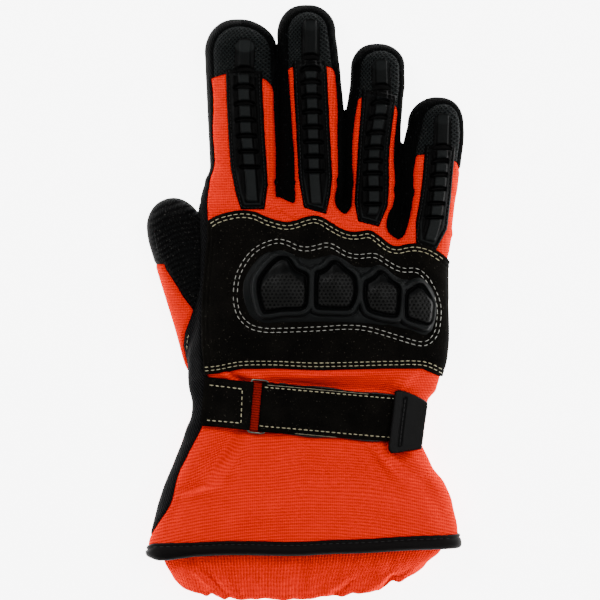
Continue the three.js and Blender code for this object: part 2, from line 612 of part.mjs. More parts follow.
// The wrist strap. Its parts are drawn as a side profile of along and lift, and run across the strap's width.
const strapLength = Math.hypot(STRAP.end.x - STRAP.start.x, STRAP.end.y - STRAP.start.y);
const strapAlong = { x: (STRAP.end.x - STRAP.start.x) / strapLength, y: (STRAP.end.y - STRAP.start.y) / strapLength };
const strapPoint = (along, across) => ({
  x: STRAP.start.x + strapAlong.x * along - strapAlong.y * across,
  y: STRAP.start.y + strapAlong.y * along + strapAlong.x * across,
});

function strapBed(along) {
  const heights = [-1, -0.5, 0, 0.5, 1].map((side) => {
    const p = strapPoint(along, side * STRAP.half);
    return backHeight(p.x, p.y);
  });
  return Math.max(...heights);
}

function strapProfile(outline, half, bed = strapBed) {
  const geometry = new THREE.ExtrudeGeometry(shapeOf(outline), { depth: 2 * half, bevelEnabled: false });
  const position = geometry.getAttribute("position");
  for (let i = 0; i < position.count; i++) {
    const [along, lift, across] = [position.getX(i), position.getY(i), position.getZ(i) - half];
    const p = strapPoint(along, -across);
    position.setXYZ(i, p.x, p.y, bed(along) + lift);
  }
  return solidOf(geometry);
}

// A band folded back round a bar at along: it swells round the bar and thins away from it
function foldedBand(bar, to) {
  const { foldRadius, foldedTop, barLift } = STRAP;
  const away = Math.sign(to - bar);
  const top = (along) => {
    const near = Math.exp(-(((along - bar) / 5) ** 2));
    return mix(foldedTop, barLift + foldRadius, near);
  };
  const nose = [-60, -30, 0, 30, 60].map((degrees) => {
    const angle = THREE.MathUtils.degToRad(degrees);
    return { x: bar - away * foldRadius * Math.cos(angle), y: barLift + foldRadius * Math.sin(angle) };
  });
  const upper = steps(bar, to, 5).map((along) => ({ x: along, y: top(along) }));
  const lower = steps(to, bar, 5).map((along) => ({ x: along, y: GAP }));
  const flatBed = (along) => strapBed(Math.abs(along - bar) < 4 ? bar : along);
  const band = strapProfile([...nose, ...upper, ...lower], STRAP.half, flatBed);
  const tunnel = Array.from({ length: 12 }, (_, i) => {
    const angle = (2 * Math.PI * i) / 12;
    return { x: bar + STRAP.tunnelRadius * Math.cos(angle), y: barLift + STRAP.tunnelRadius * Math.sin(angle) };
  });
  return band.subtract(strapProfile(tunnel, STRAP.half + 2, flatBed));
}

// The wire ring: a rounded rectangle whose long sides pass through the two folds
function strapRing() {
  const { wire, half, corner, sides } = RING;
  const { anchorBar, strapBar, barLift } = STRAP;
  const path = [];
  const corners = [
    { along: strapBar - corner, across: half - corner, start: 0 }, { along: anchorBar + corner, across: half - corner, start: 90 },
    { along: anchorBar + corner, across: -half + corner, start: 180 }, { along: strapBar - corner, across: -half + corner, start: 270 },
  ];
  for (const { along, across, start } of corners) {
    for (const step of [0, 30, 60, 90]) {
      const angle = THREE.MathUtils.degToRad(start + step);
      path.push({ along: along + corner * Math.cos(angle), across: across + corner * Math.sin(angle) });
    }
  }
  const lowBed = strapBed(anchorBar);
  const highBed = strapBed(strapBar);
  const rings = path.map((here, i) => {
    const before = path[(i + path.length - 1) % path.length];
    const after = path[(i + 1) % path.length];
    const run = new THREE.Vector2(after.along - before.along, after.across - before.across).normalize();
    const share = (here.along - anchorBar) / (strapBar - anchorBar);
    return Array.from({ length: sides }, (_, j) => {
      const angle = (2 * Math.PI * j) / sides;
      const out = wire * Math.cos(angle);
      const p = strapPoint(here.along + run.y * out, here.across - run.x * out);
      return new THREE.Vector3(p.x, p.y, mix(lowBed, highBed, share) + barLift + wire * Math.sin(angle));
    });
  });
  return loft(rings, true);
}

function ringWebbing() {
  const { half, from, to, lift, thickness } = WEBBING;
  const stations = steps(from, to, 2.5);
  const top = stations.map((along) => ({ x: along, y: lift + thickness }));
  const bottom = stations.map((along) => ({ x: along, y: lift })).reverse();
  return strapProfile([...top, ...bottom], half);
}

function anchorPad() {
  const { anchorBar, thickness } = STRAP;
  const tongue = steps(anchorBar, WEBBING.to, 2.5);
  const top = tongue.map((along) => ({ x: along, y: GAP + thickness }));
  const bottom = tongue.map((along) => ({ x: along, y: GAP })).reverse();
  const pad = strapProfile([...top, ...bottom], STRAP.half - 0.6);
  return foldedBand(anchorBar, 0.4).add(pad);
}

function pullTab() {
  const { outline, thickness, droop, clearance } = PULL_TAB;
  const bed = strapBed(STRAP.upperEnd - 6) + STRAP.foldedTop + clearance;
  const geometry = new THREE.ExtrudeGeometry(shapeOf(outline), {
    depth: thickness - 1.2, bevelEnabled: true, bevelThickness: 0.6, bevelSize: 0.6, bevelOffset: -0.6, bevelSegments: 1,
  });
  const position = geometry.getAttribute("position");
  for (let i = 0; i < position.count; i++) {
    const sag = droop * (position.getX(i) - outline[0].x);
    position.setZ(i, position.getZ(i) + 0.6 + bed - sag);
  }
  return solidOf(geometry);
}

// Colours and finishes
const cloth = { color: 0xf4501c, roughness: 0.85, metalness: 0 };
const blackCloth = { color: 0x16171a, roughness: 0.9, metalness: 0 };
const FINISHES = {
  orange_cloth: cloth,
  orange_webbing: { color: 0xc43012, roughness: 0.8, metalness: 0 },
  black_cloth: blackCloth,
  palm_leather: { color: 0x141414, roughness: 0.75, metalness: 0 },
  suede: { color: 0x121110, roughness: 0.95, metalness: 0 },
  moulded_rubber: { color: 0x1c1d1e, roughness: 0.45, metalness: 0 },
  grip_texture: { color: 0x191b1c, roughness: 0.7, metalness: 0 },
  binding: { color: 0x171617, roughness: 0.5, metalness: 0 },
  steel_wire: { color: 0xb9bcc0, roughness: 0.25, metalness: 1 },
};

// The assembly
const glove = new THREE.Group();
function place(name, solid, finish) {
  const mesh = new THREE.Mesh(geometryOf(solid), new THREE.MeshStandardMaterial(FINISHES[finish]));
  mesh.name = name;
  glove.add(mesh);
}

const panelFinish = (name) => {
  if (name === "palm_panel") return "palm_leather";
  if (name.startsWith("fingertip_cap") || name === "thumb_grip") return "grip_texture";
  if (name.includes("strip") || name.startsWith("fourchette")) return "black_cloth";
  return "orange_cloth";
};
for (const [name, solid] of panels) place(name, solid, panelFinish(name));
place("knuckle_panel", largest(knucklePanel), "suede");
place("knuckle_guard", knuckleGuard(), "moulded_rubber");
for (const spec of FINGER_GUARDS) place("finger_guard_" + spec.finger, fingerGuard(spec), "moulded_rubber");
place("cuff_binding", largest(cuffBinding()), "binding");
place("inner_cuff", largest(innerCuff()), "orange_cloth");
place("strap_anchor", largest(anchorPad()), "suede");
place("strap_ring", strapRing(), "steel_wire");
place("ring_webbing", ringWebbing(), "orange_webbing");
place("wrist_strap", foldedBand(STRAP.strapBar, STRAP.upperEnd), "suede");
place("pull_tab", pullTab(), "moulded_rubber");

export default glove;
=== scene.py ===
import math

import bpy
import numpy as np
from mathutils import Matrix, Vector
from mathutils.bvhtree import BVHTree
from mathutils.kdtree import KDTree


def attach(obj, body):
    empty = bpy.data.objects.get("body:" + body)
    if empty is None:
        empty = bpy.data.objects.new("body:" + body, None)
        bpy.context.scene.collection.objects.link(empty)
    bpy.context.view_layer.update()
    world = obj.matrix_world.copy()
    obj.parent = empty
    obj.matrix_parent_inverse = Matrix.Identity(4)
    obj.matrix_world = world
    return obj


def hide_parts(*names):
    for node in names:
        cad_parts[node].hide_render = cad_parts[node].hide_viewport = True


MM = 0.001
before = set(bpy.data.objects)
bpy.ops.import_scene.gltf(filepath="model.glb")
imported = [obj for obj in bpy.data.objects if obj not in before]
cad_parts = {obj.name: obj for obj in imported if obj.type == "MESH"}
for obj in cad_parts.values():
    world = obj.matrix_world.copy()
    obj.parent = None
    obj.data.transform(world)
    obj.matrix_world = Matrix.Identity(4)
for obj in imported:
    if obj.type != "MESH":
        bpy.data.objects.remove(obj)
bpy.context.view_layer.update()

# The photo's scale: millimetres for each of its pixels, and the pixel that lies at the origin
PIXEL = 0.48
PHOTO_CENTRE = (305, 301.5)

# Driving dimensions of the glove
SEAM_HEIGHT = 6.0
CLOTH = 1.3
PITCH = 1.05  # spacing of the cloth's mesh
SNAP = 0.1  # a point this close to a cut counts as on it
HAND_POWER, FINGER_POWER = 2.6, 2.35  # 2 makes an oval section, more a fuller one
LOW = -1.0  # bottom of the sections, a little under the table
FINGER_BLEND, THUMB_BLEND, TABLE_BLEND = 5.0, 1.2, 1.6

HAND_COLUMNS = ("y", "left", "right", "top", "slope")
HAND_ROWS = [
    (-134, -75.5, 74.4, 31, 0.043),
    (-126, -75.5, 74.4, 31, 0.043),
    (-114, -75, 73.4, 31, 0.043),
    (-97, -71, 70.6, 29.5, 0.02),
    (-88, -67.6, 67.4, 28, 0),
    (-79, -63.8, 61.2, 26, 0),
    (-63, -57.1, 55.4, 22.5, -0.03),
    (-58, -54.9, 55.8, 22.1, -0.045),
    (-52, -54.2, 56.6, 21.8, -0.06),
    (-44, -55.9, 59.4, 21.4, -0.05),
    (-39.5, -56.2, 63.2, 22.4, -0.02),
    (-34, -56.3, 65.2, 25.8, 0),
    (-26, -56, 67.0, 27.2, 0),
    (-14, -53.4, 67.8, 28.4, -0.04),
    (20, -50.6, 66.8, 28.2, -0.18),
    (34, -49.6, 66.4, 26, -0.22),
    (45, -46, 66.2, 22.5, -0.24),
]
HAND_END = 5.0
TIP_POWER = 2.2  # 2 makes a round fingertip, more a fuller one
TIP_FALL, TIP_RISE = 26, 1.5  # a finger gets lower over this length before its tip
ROOT_FALL, ROOT_DROP = 24, 3  # and over this length before its root

FINGER_COLUMNS = ("y", "left", "right")

# Each finger: its sides in millimetres, and its cloth's borders and its cap's seam in pixels of the photo
FINGERS = {
    "index": {
        "rows": [
            (22, -50, -12), (42, -50.2, -12.5), (51.4, -49, -12.7), (59.3, -46.9, -12.8),
            (66, -45.6, -12.9), (75, -46.2, -12.8), (91, -46.8, -12.6), (112, -47.9, -12.8),
            (119, -48.2, -13.2),
        ],
        "tip": 135.8, "top": 22.5, "tip_top": 19, "lean": -1.2, "cap_rims": (4, 3, 3.7),
        "cloth_left": [
            (211, 78.5), (213, 101), (212.3, 132), (214.2, 160), (213.4, 168), (210.4, 177), (208.5, 188),
            (207.2, 203.5), (207.6, 216),
        ],
        "cloth_right": [(274, 86), (274.6, 104), (276.2, 138.4), (277, 154), (277, 168), (276.4, 186)],
        "seam": [(211, 79), (226, 74.6), (262, 78.5), (267, 81), (271, 84.5), (273.6, 89), (275, 95)],
    },
    "middle": {
        "rows": [
            (20, -12, 19), (42, -13, 19.1), (60, -13.3, 19.1), (80, -13.2, 19.2), (90.5, -13.1, 18.9),
            (96.7, -13.1, 18.2), (104, -13.1, 17.6), (112, -13.1, 16.8), (128.5, -13.4, 14.8),
        ],
        "tip": 142.8, "top": 23, "tip_top": 19, "lean": 0.0, "cap_rims": (5, 3.6, 3.8),
        "cloth_left": [(287.6, 69.5), (290, 101.4), (292, 132), (294, 157.5), (294.6, 176.7), (294.6, 200)],
        "cloth_right": [
            (335.6, 72), (336.6, 83.6), (338.2, 111.6), (338.2, 140), (338.6, 170), (338.4, 184),
            (335.6, 196),
        ],
        "seam": [(286, 72), (288.5, 69.5), (292, 68), (328, 67.3), (332, 68.6), (334.6, 71), (336.2, 76)],
    },
    "ring": {
        "rows": [
            (16, 20, 46.6), (40, 19, 46.6), (66, 18.7, 46.6), (74, 18.7, 46.2), (81, 18.8, 46.2),
            (90.5, 19.5, 46.7), (98.5, 20.9, 47.4), (104, 21.6, 48), (112, 22, 47.9),
        ],
        "tip": 124.1, "top": 22, "tip_top": 18.5, "lean": 0.3, "cap_rims": (4.4, 2.4, 3.6),
        "cloth_left": [
            (357.6, 99.4), (354, 120.6), (351.5, 147), (351.4, 163), (352.6, 178.8), (351.5, 193.3),
            (350.9, 203),
        ],
        "cloth_right": [
            (397.6, 106), (398, 110), (396.8, 125.5), (394.5, 144.8), (394, 160.6), (395.2, 175),
            (395.4, 193), (393.3, 205.5),
        ],
        "seam": [(356.5, 102), (358.5, 99), (362, 97.6), (393.5, 103.6), (396.4, 107), (397.8, 112)],
    },
    "little": {
        "rows": [
            (4, 46, 66), (14, 46, 66.4), (19, 46, 67.4), (24, 46, 69.4), (28, 46, 70), (46, 46, 72.1),
            (58, 46, 73.8), (66, 45.9, 75), (70, 46.1, 75.5), (75, 47, 76.2), (81, 48.4, 76.6),
            (84.4, 49.3, 76.4),
        ],
        "tip": 98.4, "top": 20.5, "tip_top": 17, "lean": 1.1, "cap_rims": (6.6, 1.8, 3.4),
        "cloth_left": [
            (415.8, 155), (414, 165.5), (412.7, 176), (412.7, 187), (411.5, 203), (409, 216.4),
            (407.3, 224.8),
        ],
        "cloth_right": [(459.4, 160), (462, 168), (475, 176), (478, 250)],
        "seam": [(415, 155.6), (425, 155), (454, 160.6), (457.5, 163), (459.6, 168), (463, 176)],
    },
}
THUMB = {"tip": (-60.2, 30.6), "root": (-42, -24.5), "reach": 20, "end": 58}
THUMB_COLUMNS = ("along", "left", "right", "top")
THUMB_ROWS = [
    (-8, -16.4, 13, 12),
    (0, -17, 15, 15),
    (10, -16.5, 15.6, 16.5),
    (20, -16, 16, 17.5),
    (42, -15.6, 15.2, 18),
    (58, -15.1, 13.3, 16.8),
]

# Each fold is a soft ridge: its centre, turn in degrees, half length, half width and height
FOLDS = [
    (-45, -77, 52, 17, 5, -2.2),
    (-58, -88, 60, 16, 6, 1.4),
    (28, -84, -8, 26, 9, -2.0),
    (58, -82, -40, 14, 6, 1.2),
    (-4, -37, 2, 30, 3.5, 0.8),
]
SMALL_FOLDS = [
    (-31, -38, -38, 7, 1.5, -2.8),
    (-36, -37, -38, 6, 1.4, 1.2),
    (-24, -36.4, -14, 9, 1.5, 1.6),
    (2, -40.4, -6, 20, 2.5, -3.8),
    (8, -35.6, 2, 20, 1.3, 0.8),
    (35, -42.6, -8, 12, 2.8, -4.0),
    (46, -40.5, 36, 9, 2.4, 2.7),
    (52, -37, 30, 8, 1.6, -1.2),
    (-40, -73, 58, 14, 2.8, -3.0),
    (-33, -76, 60, 10, 2.6, 1.4),
    (-52, -88.5, 16, 8, 1.6, -2.2),
    (-51, -91.6, 14, 8, 1.6, 1.5),
    (0, -82, 86, 16, 6, -1.0),
    (-18, -80, 84, 16, 7, 0.8),
    (32, -88, -12, 20, 4.5, -1.2),
    (37, -76, -50, 12, 2.0, 2.4),
    (43.5, -73, -52, 11, 1.8, -2.7),
    (50, -72, -50, 10, 1.8, 0.8),
    (60, -92, -60, 13, 3.0, -1.4),
    (-6, -100, 10, 26, 6, 0.8),
    (30, -104, -6, 22, 7, -0.7),
    (-62, -100, 58, 12, 3, -0.9),
    (-20, 45.5, -24, 9, 1.2, 1.3),
    (-14, 43.6, -30, 9, 1.0, -1.5),
    (-9, 42.6, -24, 9, 1.0, 0.9),
    (21, 37.5, 14, 9, 1.1, 1.2),
    (16, 40, -18, 8, 1.1, -1.2),
    (44, 30, -6, 9, 1.2, -0.6),
]


def at_px(px, py):
    """Plan point of a pixel of the photo."""
    return ((px - PHOTO_CENTRE[0]) * PIXEL, (PHOTO_CENTRE[1] - py) * PIXEL)


def line_px(pixels):
    """Plan points of a line of pixels."""
    return np.array([at_px(*p) for p in pixels])


# Small helpers
def smooth_curve(xs, ys):
    """A smooth curve through points that doesn't overshoot them."""
    xs, ys = np.asarray(xs, float), np.asarray(ys, float)
    slopes = np.diff(ys) / np.diff(xs)
    before, after = slopes[:-1], slopes[1:]
    same = before * after > 0
    inner = np.where(same, 2 * before * after / np.where(same, before + after, 1), 0)
    tangents = np.concatenate([slopes[:1], inner, slopes[-1:]])

    def value(x):
        x = np.clip(x, xs[0], xs[-1])
        i = np.clip(np.searchsorted(xs, x) - 1, 0, len(xs) - 2)
        step = xs[i + 1] - xs[i]
        t = (x - xs[i]) / step
        start = ys[i] * (1 + 2 * t) * (1 - t) ** 2 + tangents[i] * step * t * (1 - t) ** 2
        return start + ys[i + 1] * t * t * (3 - 2 * t) + tangents[i + 1] * step * t * t * (t - 1)

    return value


def edge_px(pixels):
    """A line of pixels as a smooth curve that gives x for each y."""
    line = line_px(pixels)[::-1]
    return smooth_curve(line[:, 1], line[:, 0])


def curves_of(rows, columns):
    """A smooth curve for each column of a table, over its first column."""
    table = np.array(rows, float)
    return {name: smooth_curve(table[:, 0], table[:, i]) for i, name in enumerate(columns) if i}


def ramp(value, low, high):
    """0 below low, 1 above high, smooth between."""
    t = np.clip((value - low) / (high - low), 0, 1)
    return t * t * (3 - 2 * t)


def bump(value, width):
    """1 at zero, falling away on both sides."""
    return np.exp(-((value / width) ** 2))


def smooth_min(a, b, blend):
    """The smaller of two distances, with their meeting rounded."""
    h = np.clip(0.5 + 0.5 * (b - a) / blend, 0, 1)
    return b + (a - b) * h - blend * h * (1 - h)


def fold_height(x, y, folds):
    """How high the folds lift the cloth at each point in plan."""
    total = np.zeros_like(x)
    for cx, cy, turn, length, width, height in folds:
        c, s = math.cos(math.radians(turn)), math.sin(math.radians(turn))
        along = (x - cx) * c + (y - cy) * s
        across = (y - cy) * c - (x - cx) * s
        total += height * bump(along, length) * bump(across, width)
    return total


def waves(x, y, seed, size):
    """A gentle unevenness between -1 and 1 with features of about size millimetres."""
    rng = np.random.default_rng(seed)
    total = np.zeros_like(x)
    count, strength = 7, 1.6
    for _ in range(count):
        angle, phase = rng.uniform(0, math.tau, 2)
        k = rng.uniform(0.7, 1.4) * math.tau / size
        total += np.sin(k * (x * math.cos(angle) + y * math.sin(angle)) + phase)
    return total / count * strength


def outline_distance(x, y, outline):
    """Distance to a closed outline, negative inside."""
    points = np.asarray(outline, float)
    nearest = np.full(x.shape, np.inf)
    inside = np.zeros(x.shape, bool)
    for (ax, ay), (bx, by) in zip(points, np.roll(points, -1, axis=0)):
        dx, dy = bx - ax, by - ay
        t = np.clip(((x - ax) * dx + (y - ay) * dy) / (dx * dx + dy * dy), 0, 1)
        nearest = np.minimum(nearest, np.hypot(x - ax - t * dx, y - ay - t * dy))
        crosses = (ay > y) != (by > y)
        inside ^= crosses & (x < ax + (y - ay) * dx / np.where(dy == 0, 1e-9, dy))
    return np.where(inside, -nearest, nearest)


def rounded(points, count=120, closed=True):
    """Even points on a smooth curve through an outline."""
    p = np.asarray(points, float)
    if closed:
        p = np.vstack([p[-1:], p, p[:2]])
    else:
        p = np.vstack([2 * p[0] - p[1], p, 2 * p[-1] - p[-2]])
    t = np.linspace(0, 1, 24, endpoint=False)[:, None]
    pieces = []
    for a, b, c, d in zip(p[:-3], p[1:-2], p[2:-1], p[3:]):
        square, cube = 2 * a - 5 * b + 4 * c - d, 3 * b - a - 3 * c + d
        pieces.append(0.5 * (2 * b + (c - a) * t + square * t**2 + cube * t**3))
    line = np.vstack(pieces + [p[-2:-1]])
    along = np.concatenate([[0], np.cumsum(np.hypot(*np.diff(line, axis=0).T))])
    even = np.linspace(0, along[-1], count, endpoint=not closed)
    return np.column_stack([np.interp(even, along, line[:, 0]), np.interp(even, along, line[:, 1])])


# The glove's body as a distance field
hand = curves_of(HAND_ROWS, HAND_COLUMNS)
for finger in FINGERS.values():
    finger["sides"] = curves_of(finger["rows"], FINGER_COLUMNS)
    finger["root"] = finger["rows"][0][0]
    finger["end"] = finger["rows"][-1][0]
    finger["middle"] = (finger["rows"][-1][1] + finger["rows"][-1][2]) / 2
thumb_sides = curves_of(THUMB_ROWS, THUMB_COLUMNS)


def section_distance(x, z, left, right, top, power, beyond, dome):
    """Distance to a rounded section from LOW to top, with a dome on its end where beyond is positive."""
    half_w, half_h = (right - left) / 2, (top - LOW) / 2
    u = np.abs(x - (left + right) / 2) / half_w + 1e-9
    v = np.abs(z - (LOW + top) / 2) / half_h + 1e-9
    rho = (u**power + v**power) ** (1 / power)
    steep = ((u / rho) ** (power - 1) / half_w) ** 2 + ((v / rho) ** (power - 1) / half_h) ** 2
    w = np.maximum(beyond, 0) / dome
    total = (rho**TIP_POWER + w**TIP_POWER) ** (1 / TIP_POWER)
    steep = steep * (rho / total) ** (2 * TIP_POWER - 2) + ((w / total) ** (TIP_POWER - 1) / dome) ** 2
    return (total - 1) / np.sqrt(steep)


def all_folds(x, y):
    """The height of every fold of the hand and the cuff."""
    return fold_height(x, y, FOLDS) + fold_height(x, y, SMALL_FOLDS)


def hand_distance(x, y, z):
    """The hand and the cuff, with the folds of their upper side."""
    across = y - hand["slope"](y) * x
    left, right, top = (hand[name](across) for name in ("left", "right", "top"))
    middle = (top + LOW) / 2
    lifted = np.clip((z - middle) / (top - middle), 0, 1.2)
    z = z - lifted * (all_folds(x, y) + 0.35 * waves(x, y, 5, 34))
    end = HAND_ROWS[-1][0]
    return section_distance(x, z, left, right, top, HAND_POWER, across - end, HAND_END)


def finger_distance(finger, x, y, z):
    """One finger, from its root to its round tip."""
    left, right = finger["sides"]["left"](y), finger["sides"]["right"](y)
    near_tip = ramp(y, finger["end"] - TIP_FALL, finger["end"])
    near_root = 1 - ramp(y, finger["root"], finger["root"] + ROOT_FALL)
    top = finger["top"] + (finger["tip_top"] + TIP_RISE - finger["top"]) * near_tip - ROOT_DROP * near_root
    reach = finger["tip"] - finger["end"]
    lean = finger["lean"] * np.clip((y - finger["end"]) / reach, 0, 1) ** 2
    distance = section_distance(x - lean, z, left, right, top, FINGER_POWER, y - finger["end"], reach)
    return np.maximum(distance, finger["root"] - y)


def thumb_axes(x, y):
    """How far a point is along the thumb from its root, and across it."""
    (tx, ty), (rx, ry) = THUMB["tip"], THUMB["root"]
    length = math.hypot(tx - rx, ty - ry)
    ax, ay = (tx - rx) / length, (ty - ry) / length
    return (x - rx) * ax + (y - ry) * ay, (x - rx) * ay - (y - ry) * ax


def thumb_distance(x, y, z):
    """The thumb, in its own axes."""
    along, across = thumb_axes(x, y)
    left, right, top = (thumb_sides[name](along) for name in ("left", "right", "top"))
    beyond = along - THUMB["end"]
    distance = section_distance(across, z, left, right, top, FINGER_POWER, beyond, THUMB["reach"])
    return np.maximum(distance, THUMB_ROWS[0][0] - along)


def glove_distance(x, y, z):
    """Distance to the glove's outer surface, negative inside."""
    palm = hand_distance(x, y, z)
    body = palm
    for finger in FINGERS.values():
        body = np.minimum(body, smooth_min(palm, finger_distance(finger, x, y, z), FINGER_BLEND))
    body = smooth_min(body, thumb_distance(x, y, z), THUMB_BLEND)
    return -smooth_min(-body, z, TABLE_BLEND)  # flat where it rests on the table


def slope_of(field, p, step=0.25):
    """The way out of a surface at each point."""
    parts = []
    for axis in range(3):
        shift = np.zeros(3)
        shift[axis] = step
        parts.append(field(*(p + shift).T) - field(*(p - shift).T))
    gradient = np.stack(parts, axis=1) / (2 * step)
    return gradient / np.maximum(np.linalg.norm(gradient, axis=1, keepdims=True), 1e-9)


def settle(p, field, rounds=3):
    """Moves points onto the surface."""
    for _ in range(rounds):
        p = p - np.clip(field(*p.T), -1, 1)[:, None] * slope_of(field, p)
    return p


def surface_mesh(field, low, high, pitch):
    """Triangles of the surface where field is zero, one point to each cell that it crosses."""
    axes = [np.arange(a, b + pitch, pitch) for a, b in zip(low, high)]
    grid = np.stack(np.meshgrid(*axes, indexing="ij"), axis=-1)
    value = field(grid[..., 0].ravel(), grid[..., 1].ravel(), grid[..., 2].ravel()).reshape(grid.shape[:3])
    cells = tuple(n - 1 for n in value.shape)
    total, count = np.zeros(cells + (3,)), np.zeros(cells, int)
    crossings = []
    for axis in range(3):
        first = [slice(None)] * 3
        second = [slice(None)] * 3
        first[axis], second[axis] = slice(None, -1), slice(1, None)
        a, b = value[tuple(first)], value[tuple(second)]
        crossed = (a < 0) != (b < 0)
        share = np.where(crossed, a / np.where(a == b, 1, a - b), 0)[..., None]
        point = grid[tuple(first)] * (1 - share) + grid[tuple(second)] * share
        others = [i for i in range(3) if i != axis]
        for da in (0, 1):
            for db in (0, 1):
                part = [slice(None)] * 3
                part[others[0]] = slice(da, value.shape[others[0]] - 1 + da)
                part[others[1]] = slice(db, value.shape[others[1]] - 1 + db)
                hit = crossed[tuple(part)]
                total += np.where(hit[..., None], point[tuple(part)], 0)
                count += hit
        crossings.append((axis, others, crossed, a < 0))
    used = count > 0
    number = np.full(cells, -1)
    number[used] = np.arange(used.sum())
    points = total[used] / count[used][:, None]
    quads = []
    for axis, others, crossed, inward in crossings:
        index = np.argwhere(crossed)
        inside = np.ones(len(index), bool)
        for other in others:
            inside &= (index[:, other] > 0) & (index[:, other] < value.shape[other] - 1)
        index = index[inside]
        flip = inward[tuple(index.T)]
        corners = []
        for da, db in ((0, 0), (1, 0), (1, 1), (0, 1)):
            cell = index.copy()
            cell[:, others[0]] -= da
            cell[:, others[1]] -= db
            corners.append(number[tuple(cell.T)])
        quad = np.stack(corners, axis=1)
        if axis == 1:
            flip = ~flip
        quads.append(np.where(flip[:, None], quad, quad[:, ::-1]))
    quads = np.vstack(quads)
    return points, np.vstack([quads[:, [0, 1, 2]], quads[:, [0, 2, 3]]])


class Patch:
    """Triangles with the side of each cut that they lie on."""

    def __init__(self, points, faces):
        self.points = points
        self.faces = faces
        self.sides = {}

    def cut(self, name, field):
        """Splits the triangles along field's zero and notes which of them lie where it is negative."""
        value = field(*self.points.T)
        value = np.where(np.abs(value) < SNAP, 0, value)
        sign = np.sign(value)[self.faces]
        mixed = (sign.max(axis=1) > 0) & (sign.min(axis=1) < 0)
        whole, whole_side = self.faces[~mixed], sign[~mixed].sum(axis=1) < 0
        parts, part_sides, part_parents = [whole], [whole_side], [np.flatnonzero(~mixed)]
        split, split_sign = self.faces[mixed], sign[mixed]
        parents = np.flatnonzero(mixed)
        has_zero = (split_sign == 0).any(axis=1)
        alone = split_sign == -split_sign.sum(axis=1)[:, None]
        lead = np.where(has_zero, np.argmax(split_sign == 0, axis=1), np.argmax(alone, axis=1))
        order = (lead[:, None] + np.arange(3)) % 3
        split, split_sign = np.take_along_axis(split, order, 1), np.take_along_axis(split_sign, order, 1)
        pairs = {}
        new_points = []
        start = len(self.points)

        def middle(a, b):
            low, high = np.minimum(a, b), np.maximum(a, b)
            keys = low * start + high
            unique, inverse = np.unique(keys, return_inverse=True)
            ids = np.empty(len(unique), int)
            for n, key in enumerate(unique):
                if key not in pairs:
                    i, j = divmod(int(key), start)
                    share = value[i] / (value[i] - value[j])
                    pairs[key] = start + len(new_points)
                    new_points.append(self.points[i] * (1 - share) + self.points[j] * share)
                ids[n] = pairs[key]
            return ids[inverse.ravel()]

        zero = split[has_zero]
        if len(zero):
            m = middle(zero[:, 1], zero[:, 2])
            side = split_sign[has_zero]
            parts += [np.stack([zero[:, 0], zero[:, 1], m], 1), np.stack([zero[:, 0], m, zero[:, 2]], 1)]
            part_sides += [side[:, 1] < 0, side[:, 2] < 0]
            part_parents += [parents[has_zero]] * 2
        rest = split[~has_zero]
        if len(rest):
            a, b, c = rest.T
            ab, ac = middle(a, b), middle(a, c)
            side = split_sign[~has_zero][:, 0] < 0
            parts += [np.stack([a, ab, ac], 1), np.stack([ab, b, c], 1), np.stack([ab, c, ac], 1)]
            part_sides += [side, ~side, ~side]
            part_parents += [parents[~has_zero]] * 3
        if new_points:
            self.points = np.vstack([self.points, new_points])
        self.faces = np.vstack(parts)
        inherit = np.concatenate(part_parents)
        self.sides = {key: old[inherit] for key, old in self.sides.items()}
        self.sides[name] = np.concatenate(part_sides)

    def refined(self, mask):
        """The faces in mask, each split in four."""
        faces = self.faces[mask]
        edges = np.sort(np.stack([faces[:, [0, 1]], faces[:, [1, 2]], faces[:, [2, 0]]], 1), axis=2)
        unique, inverse = np.unique(edges.reshape(-1, 2), axis=0, return_inverse=True)
        middles = inverse.reshape(-1, 3) + len(self.points)
        points = np.vstack([self.points, self.points[unique].mean(axis=1)])
        a, b, c = faces.T
        ab, bc, ca = middles.T
        finer = np.vstack([np.stack(t, 1) for t in ((a, ab, ca), (ab, b, bc), (ca, bc, c), (ab, bc, ca))])
        return compact(points, finer)


def compact(points, faces):
    """Only the points that the faces use."""
    used = np.unique(faces)
    renumber = np.full(len(points), -1)
    renumber[used] = np.arange(len(used))
    return points[used], renumber[faces]


def border_edges(faces):
    """Edges that only one face has."""
    edges = np.vstack([faces[:, [0, 1]], faces[:, [1, 2]], faces[:, [2, 0]]])
    keys = np.sort(edges, axis=1)
    _, inverse, counts = np.unique(keys, axis=0, return_inverse=True, return_counts=True)
    return edges[counts[inverse.ravel()] == 1]


def distance_to_points(points, targets):
    tree = KDTree(len(targets))
    for i, target in enumerate(targets):
        tree.insert(target, i)
    tree.balance()
    return np.array([tree.find(p)[2] for p in points])


def thickened(outer, inner, faces):
    """A closed shell between two sheets of points that share their faces."""
    a, b = border_edges(faces).T
    n = len(outer)
    walls = np.vstack([np.column_stack([b, a, a + n]), np.column_stack([b, a + n, b + n])])
    return np.vstack([outer, inner]), np.vstack([faces, faces[:, ::-1] + n, walls])


